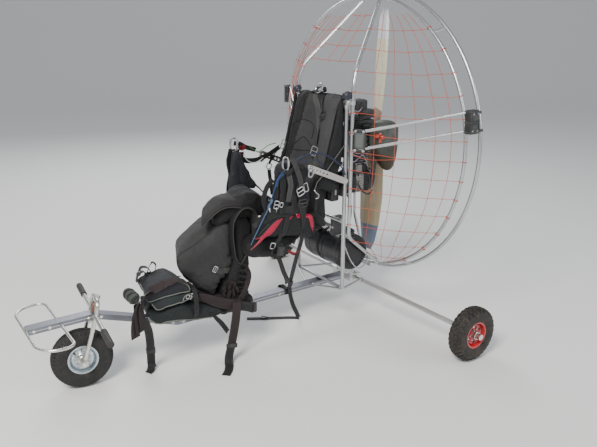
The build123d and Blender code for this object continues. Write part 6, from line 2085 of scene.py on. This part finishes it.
LEVELS = [0.36, 0.455, 0.55, 0.645, 0.735, 0.825, 0.915, 1.005, 1.10, 1.195, 1.29, 1.385, 1.475]
COLS = [0.20, 0.40, 0.585, 0.76, 0.90]
for s, nm in ((1, "left"), (-1, "right")):
    b = Build()
    for z in LEVELS:
        b.tube([net_point(k / 20, z, s) for k in range(21)], 0.0012, 6)
        a = net_inner(z, s)
        for r0, c, ax in ((0.0112, a + V(0.004, -0.009 * s, 0), (0, 0, 1)),):
            b.tube([c + V(cos(t), sin(t), 0) * r0 for t in [2 * pi * k / 14 for k in range(14)]], 0.0018, 6, closed=True)
        e = net_outer(z, s)
        t_ = V(0, -(z - 0.942), e.y).normalized()
        rr = V(0, e.y, z - 0.942).normalized()
        c = V(-0.818, 0, 0.942) + rr * 0.688
        b.tube([c + V(1, 0, 0) * cos(t) * 0.0098 + rr * sin(t) * 0.0098 for t in [2 * pi * k / 14 for k in range(14)]], 0.0018, 6, closed=True)
    for u in COLS:
        line = []
        for k in range(61):
            z = 0.315 + (1.545 - 0.315) * k / 60
            line.append(net_point(u, z, s))
        b.tube(line, 0.0012, 6)
    for z in LEVELS:
        for u in COLS:
            q = net_point(u, z, s)
            ring = [q + V(cos(t) * 0.0034, sin(t) * 0.0034, 0) for t in [2 * pi * k / 6 for k in range(6)]]
            top, bot = q + V(0, 0, 0.0036), q - V(0, 0, 0.0036)
            b.grid([[bot] * 6, ring, [top] * 6], close_v=True)
    ride(b.obj("guard_net_" + nm, "net"), "frame", "red_anodised")
# rows between the two uprights above the engine
b = Build()
for z in (1.33, 1.40, 1.47, 1.54):
    p0, p1 = net_inner(z, 1), net_inner(z, -1)
    p0.y -= 0.018
    p1.y += 0.018
    b.tube([p0.lerp(p1, k / 12) - V(0, 0, 0.006 * sin(pi * k / 12)) for k in range(13)], 0.0015, 6)
for y in (-0.05, 0.05):
    b.tube([V(net_inner(z, 1).x, y * (1.75 - z) / 0.45, z) for z in (1.325, 1.40, 1.47, 1.545)], 0.0014, 6)
# slack cord that crosses the canister
b.tube(catmull([(-0.560, 0.2285, 0.902), (-0.610, 0.262, 0.880), (-0.680, 0.290, 0.872), (-0.760, 0.330, 0.872), (-0.806, 0.400, 0.880)], 10), 0.0016, 6)
ride(b.obj("guard_net_middle", "net"), "frame", "red_anodised")


# ============================================================ frame hardware
# rounded black covers where the side struts meet the guard rings
b = Build()
for s in (1, -1):
    c = A(1561, 700 * s, 1093)
    b.box(c, (0.0525, 0.0390, 0.1045), bevel=0.006, seg=3)
    for dz in (-0.044, -0.002, 0.044):
        b.box(c + V(0, 0, dz), (0.0560, 0.0425, 0.0060), bevel=0.002, seg=1)
    b.box(c + V(0.0, 0.0205 * s, -0.022), (0.034, 0.0030, 0.028), bevel=0.001, seg=1)
    b.box(c + V(0.0, 0.0205 * s, 0.022), (0.034, 0.0030, 0.028), bevel=0.001, seg=1)
    for dz in (-0.040, 0.036):
        z = 1.093 + dz
        yr = sqrt(0.7155 ** 2 - (z - 0.942) ** 2)
        q = V(AXLE_X - 1.612, yr * s, z)
        n = V(0, yr * s, z - 0.942).normalized()
        t = V(0, -n.z, n.y)
        b.lathe([(-0.006, 0.0094), (-0.006, 0.0125), (0.006, 0.0125), (0.006, 0.0094)], q, t, 24)
        b.box(q + V(0.017, 0.0, 0.0), (0.026, 0.010, 0.010), bevel=0.002, seg=1)
ride(b.obj("ring_joint_covers", "black_matt"), "frame", "black_plastic", "cage_joint_covers")
b = Build()
for s in (1, -1):
    c = A(1561, 700 * s, 1093)
    for dx in (-0.015, 0.015):
        for dz in (-0.036, 0.036):
            b.hexbolt(c + V(dx, 0.0197 * s, dz), (0, s, 0), 0.0040, 0.0035, True)
ride(b.obj("cover_screws", "steel"), "frame", "zinc_steel")

# brackets at the inner ends of the side struts: clamp blocks round a panel
b, g, k_ = Build(), Build(), Build()
for s in (1, -1):
    s0 = V(AXLE_X - 1.312, 0.254 * s, 0)
    along = V(-(1.560 - 1.292), (0.690 - 0.219) * s, 0).normalized()
    nor = V(along.y, -along.x, 0) * s
    rot = Matrix((along, nor, V(0, 0, 1))).transposed()
    mid = s0 + V(0, 0, 0.970)
    g.box(mid, (0.050, 0.0190, 0.078), rot, 0.004, 2)
    g.box(mid + nor * 0.010, (0.036, 0.0030, 0.060), rot, 0.0012, 1)
    b.box(mid + V(0, 0, 0.0455), (0.0575, 0.0218, 0.0165), rot, 0.004, 2)
    b.box(mid - V(0, 0, 0.0470), (0.0575, 0.0218, 0.0135), rot, 0.004, 2)
    b.box(mid + along * 0.0255, (0.0065, 0.0218, 0.080), rot, 0.002, 1)
    b.box(mid - along * 0.0265, (0.0045, 0.0218, 0.080), rot, 0.002, 1)
    for e in (-1, 1):
        for f_ in (-1, 1):
            k_.hexbolt(mid + along * 0.020 * e + V(0, 0, 0.0455 * f_) + nor * 0.0110, nor, 0.0045, 0.004, True)
ride(g.obj("strut_bracket_panels", "grey"), "frame", "grey_plastic", "strut_brackets")
ride(b.obj("strut_bracket_clamps", "black_matt"), "frame", "black_plastic")
ride(k_.obj("strut_bracket_bolts", "steel"), "frame", "zinc_steel")

# post heads: dark blue cap, silver yoke to the upright
b, g = Build(), Build()
for s in (1, -1):
    c = A(1275, 193 * s, 1165)
    prof = [(0.0, 0.0), (0.0, 0.019), (0.006, 0.0225), (0.018, 0.0235), (0.028, 0.0200), (0.034, 0.012), (0.036, 0.0)]
    b.lathe(prof, c + V(0.004, 0.006 * s, -0.002), (0.1, 0.1 * s, 1), 28)
    g.box(c + V(-0.008, 0.004 * s, -0.020), (0.044, 0.030, 0.020), bevel=0.003, seg=2)
    g.lathe([(-0.012, 0.0100), (-0.012, 0.0132), (0.012, 0.0132), (0.012, 0.0100)], c + V(0, 0, -0.036), (0, 0, 1), 28)
    g.lathe([(-0.009, 0.0088), (-0.009, 0.0120), (0.009, 0.0120), (0.009, 0.0088)], A(1292, 219 * s, 1145), (0, 0, 1), 28)
    g.hexbolt(c + V(-0.006, 0.0195 * s, -0.020), (0, s, 0), 0.0050, 0.005, True)
    g.hexbolt(c + V(-0.022, 0.0195 * s, -0.020), (0, s, 0), 0.0050, 0.005, True)
ride(b.obj("post_caps", "navycap"), "frame", "navy_fabric")
ride(g.obj("post_yokes", "plate"), "frame", "alu_plate")

# ring and strap end lying on the top of the seat back
b = Build()
ring = []
for k in range(28):
    a = 2 * pi * k / 28
    ring.append(V(-0.533, -0.006, 1.196) + V(0.10, 1, 0.12).normalized() * cos(a) * 0.030 + V(-0.35, 0, 0.94).normalized() * sin(a) * 0.023)
b.tube(ring, 0.0042, 10, closed=True)
b.tube([ring[3], ring[11]], 0.0034, 8)
ride(b.obj("seat_top_ring", "steel"), "frame", "zinc_steel")
b = Build()
b.strap([(-0.524, -0.028, 1.176), (-0.534, -0.024, 1.192), (-0.545, -0.012, 1.200), (-0.553, 0.004, 1.192), (-0.556, 0.010, 1.176)], (0.2, 1, 0), 0.026, 0.003)
b.tube(catmull([(-0.530, 0.012, 1.186), (-0.536, 0.026, 1.202), (-0.545, 0.030, 1.200), (-0.552, 0.024, 1.182)], 6), 0.004, 8)
ride(b.obj("seat_top_strap", "web_black"), "frame", "black_fabric")

# swing arms: pivot bolts, washers, bushes, rims round the holes
b = Build()
for s in (1, -1):
    c = A(1266, 211 * s, 772)
    b.lathe([(0, 0), (0, 0.0115), (0.0020, 0.0115), (0.0022, 0.0)], c, (0, s, 0), 28)
    b.hexbolt(c + V(0, 0.0020 * s, 0), (0, s, 0), 0.0085, 0.0065, False, 0.004)
    b.lathe([(-0.004, 0.0105), (-0.004, 0.0160), (0.004, 0.0160), (0.004, 0.0105)], A(1275, 193 * s, 772), (0, 0, 1), 28)
    e, r = A(1056, 0, 862), A(1266, 0, 772)
    d = (e - r).normalized()
    for i in range(6):
        q = e - d * (0.021 * i)
        b.lathe([(0, 0.0050), (0.0006, 0.0062), (0.0006, 0.0072), (0, 0.0080)], V(q.x, 0.2110 * s, q.z), (0, s, 0), 20)
ride(b.obj("arm_bolts", "zinc"), "frame", "zinc_steel")

# weld beads where bars meet posts, uprights meet rings and beams meet the boom
def bead(b, c, axis, r, seed=0.0, w=0.0026):
    ax = Vector(axis).normalized()
    ref = V(0, 0, 1) if abs(ax.z) < 0.9 else V(1, 0, 0)
    e1 = (ref - ax * ref.dot(ax)).normalized()
    e2 = ax.cross(e1)
    pts = []
    for k in range(40):
        a = 2 * pi * k / 40
        rr = r + 0.0006 * sin(a * 17 + seed)
        pts.append(Vector(c) + e1 * cos(a) * rr + e2 * sin(a) * rr)
    b.tube(pts, w, 6, closed=True)


b = Build()
for z in (201.5, 560, 850, 1045):
    for s in (1, -1):
        bead(b, A(1275, 182.5 * s, z), (0, 1, 0), 0.0095, z)
for s in (1, -1):
    bead(b, A(1466 + 7, 60 * s, 178), V(-0.081, 0.706 * s, -0.045), 0.0125, 2.0)
    for z_in, z_out in ((1000, 1136), (918, 1054)):
        d = (A(1560, 690 * s, z_out) - A(1292, 219 * s, z_in)).normalized()
        bead(b, A(1292, 219 * s, z_in) + d * 0.0105, d, 0.0078, z_in, 0.0022)
ride(b.obj("weld_beads", "arm"), "frame", "alu_plate")

# boom: end cap, bolts at each bend and through the side, edge lines of the extrusion
b, k_ = Build(), Build()
b.box(A(-206.5, 0, 315), (0.004, 0.049, 0.024), bevel=0.0015, seg=1)
for back, z, tilt in ((65, 315, 10), (440, 179, 10)):
    for s in (1, -1):
        for dx in (-0.026, 0.026):
            dz = 0.0 if (back == 65 and dx > 0) or (back == 440 and dx < 0) else (0.009 if back == 440 else -0.009)
            k_.hexbolt(A(back, 25.2 * s, z) + V(dx, 0, dz), (0, s, 0), 0.0050, 0.0045, True)
for back in (-182, -120, 700, 1000, 1400, 1440):
    z = 315 if back < 60 else 179
    for s in (1, -1):
        k_.hexbolt(A(back, 25.2 * s, z), (0, s, 0), 0.0048, 0.0045, True)
for s in (1, -1):
    b.box(A((1480 + 440) / 2, 25.1 * s, 179), (1.030, 0.0012, 0.0030), bevel=0.0004, seg=1)
    b.box(A((-205 + 65) / 2, 25.1 * s, 315), (0.262, 0.0012, 0.0030), bevel=0.0004, seg=1)
ride(b.obj("boom_trim", "plate"), "frame", "alu_boom")
ride(k_.obj("boom_bolts", "zinc"), "frame", "zinc_steel")

# tank: moulded seam, filler cap and the bent wire under its near end
b = Build()
TC = A(1375, 0, 365)
b.lathe([(-0.0015, 0.0925), (-0.0015, 0.0955), (0.0015, 0.0955), (0.0015, 0.0925)], TC + V(0, 0.002, 0), (0, 1, 0), 72)
for y in (-0.112, 0.112):
    b.lathe([(-0.010, 0.0935), (-0.008, 0.0958), (0.008, 0.0958), (0.010, 0.0935)], TC + V(0, y, 0), (0, 1, 0), 72)
cap = TC + V(-0.052, 0.052, 0.076)
b.lathe([(0, 0.024), (0.012, 0.024), (0.012, 0.027), (0.030, 0.026), (0.033, 0.022), (0.033, 0.0)], cap - V(-0.56, 0, 0.83) * 0.010, (-0.56, 0, 0.83), 36)
for k in range(18):
    a = 2 * pi * k / 18
    ax = V(-0.56, 0, 0.83).normalized()
    e1, e2 = V(0, 1, 0), ax.cross(V(0, 1, 0))
    b.box(cap + ax * 0.011 + (e1 * cos(a) + e2 * sin(a)) * 0.0268, (0.003, 0.003, 0.014), Matrix((e1 * cos(a) + e2 * sin(a), ax.cross(e1 * cos(a) + e2 * sin(a)), ax)).transposed(), 0.0008, 1)
ride(b.obj("tank_fittings", "tank"), "frame", "tank_plastic")
b = Build()
for s in (1, -1):
    b.tube(catmull([A(1292, 166 * s, 478), A(1300, 172 * s, 430), A(1322, 176 * s, 372), A(1352, 178 * s, 318), A(1392, 180 * s, 282), A(1440, 182 * s, 300), A(1462, 180 * s, 352)], 8), 0.0030, 10)
for y in (-90, 90):
    a0 = [A(1312 + 0, y, 560), A(1312 - 31, y, 520), A(1290, y, 440)]
    for k in range(2):
        b.hexbolt(A(1281.5, y + (8 if k else -8), 505), (1, 0, 0), 0.0045, 0.004, True)
ride(b.obj("tank_wires", "steel"), "frame", "zinc_steel")
b = Build()
for y in (-0.030,):
    ring = [TC + V(cos(a) * 0.0954, y, sin(a) * 0.0954) for a in [2 * pi * k / 60 for k in range(61)]]
    b.strap(ring, (0, 1, 0), 0.018, 0.0016, 1)
ride(b.obj("tank_straps", "web_black"), "frame", "black_fabric")

# axle beams: bolts at the bracket, collars beside the wheels
b = Build()
for s in (1, -1):
    for back in (1438, 1480):
        b.hexbolt(A(back, 48 * s, 197.5), (0, 0, 1), 0.0055, 0.006, True)
    d = (A(1547, 752 * s, 134) - A(1466, 46 * s, 179)).normalized()
    q = A(1547, 752 * s, 134) - d * 0.020
    b.lathe([(-0.014, 0.0120), (-0.014, 0.0152), (0.014, 0.0152), (0.014, 0.0120)], q, d, 32)
    b.hexbolt(q + V(0, 0, 0.0150), (0, 0, 1), 0.0050, 0.005, True)
    q = A(1466, 46 * s, 179) + d * 0.060
    b.lathe([(-0.018, 0.0120), (-0.018, 0.0148), (0.018, 0.0148), (0.018, 0.0120)], q, d, 32)
ride(b.obj("axle_fittings", "zinc"), "frame", "zinc_steel")

# ring ties and spacers: end collars
b = Build()
for ang in (41, 152, -41, -152):
    a = radians(ang)
    p0 = V(AXLE_X - 1.548, 0.688 * sin(a), 0.942 + 0.688 * cos(a))
    p1 = V(AXLE_X - 1.612, 0.7155 * sin(a), 0.942 + 0.7155 * cos(a))
    d = (p1 - p0).normalized()
    bead(b, p0 + d * 0.0085, d, 0.0066, ang, 0.0020)
    bead(b, p1 - d * 0.0095, d, 0.0066, ang, 0.0020)
for s in (1, -1):
    for z in (480, 1225):
        bead(b, A(1288 if z < 500 else 1292, 217 * s, z), (0, 0, 1), 0.0092, z, 0.0012)
ride(b.obj("ring_collars", "arm"), "frame", "alu_plate")
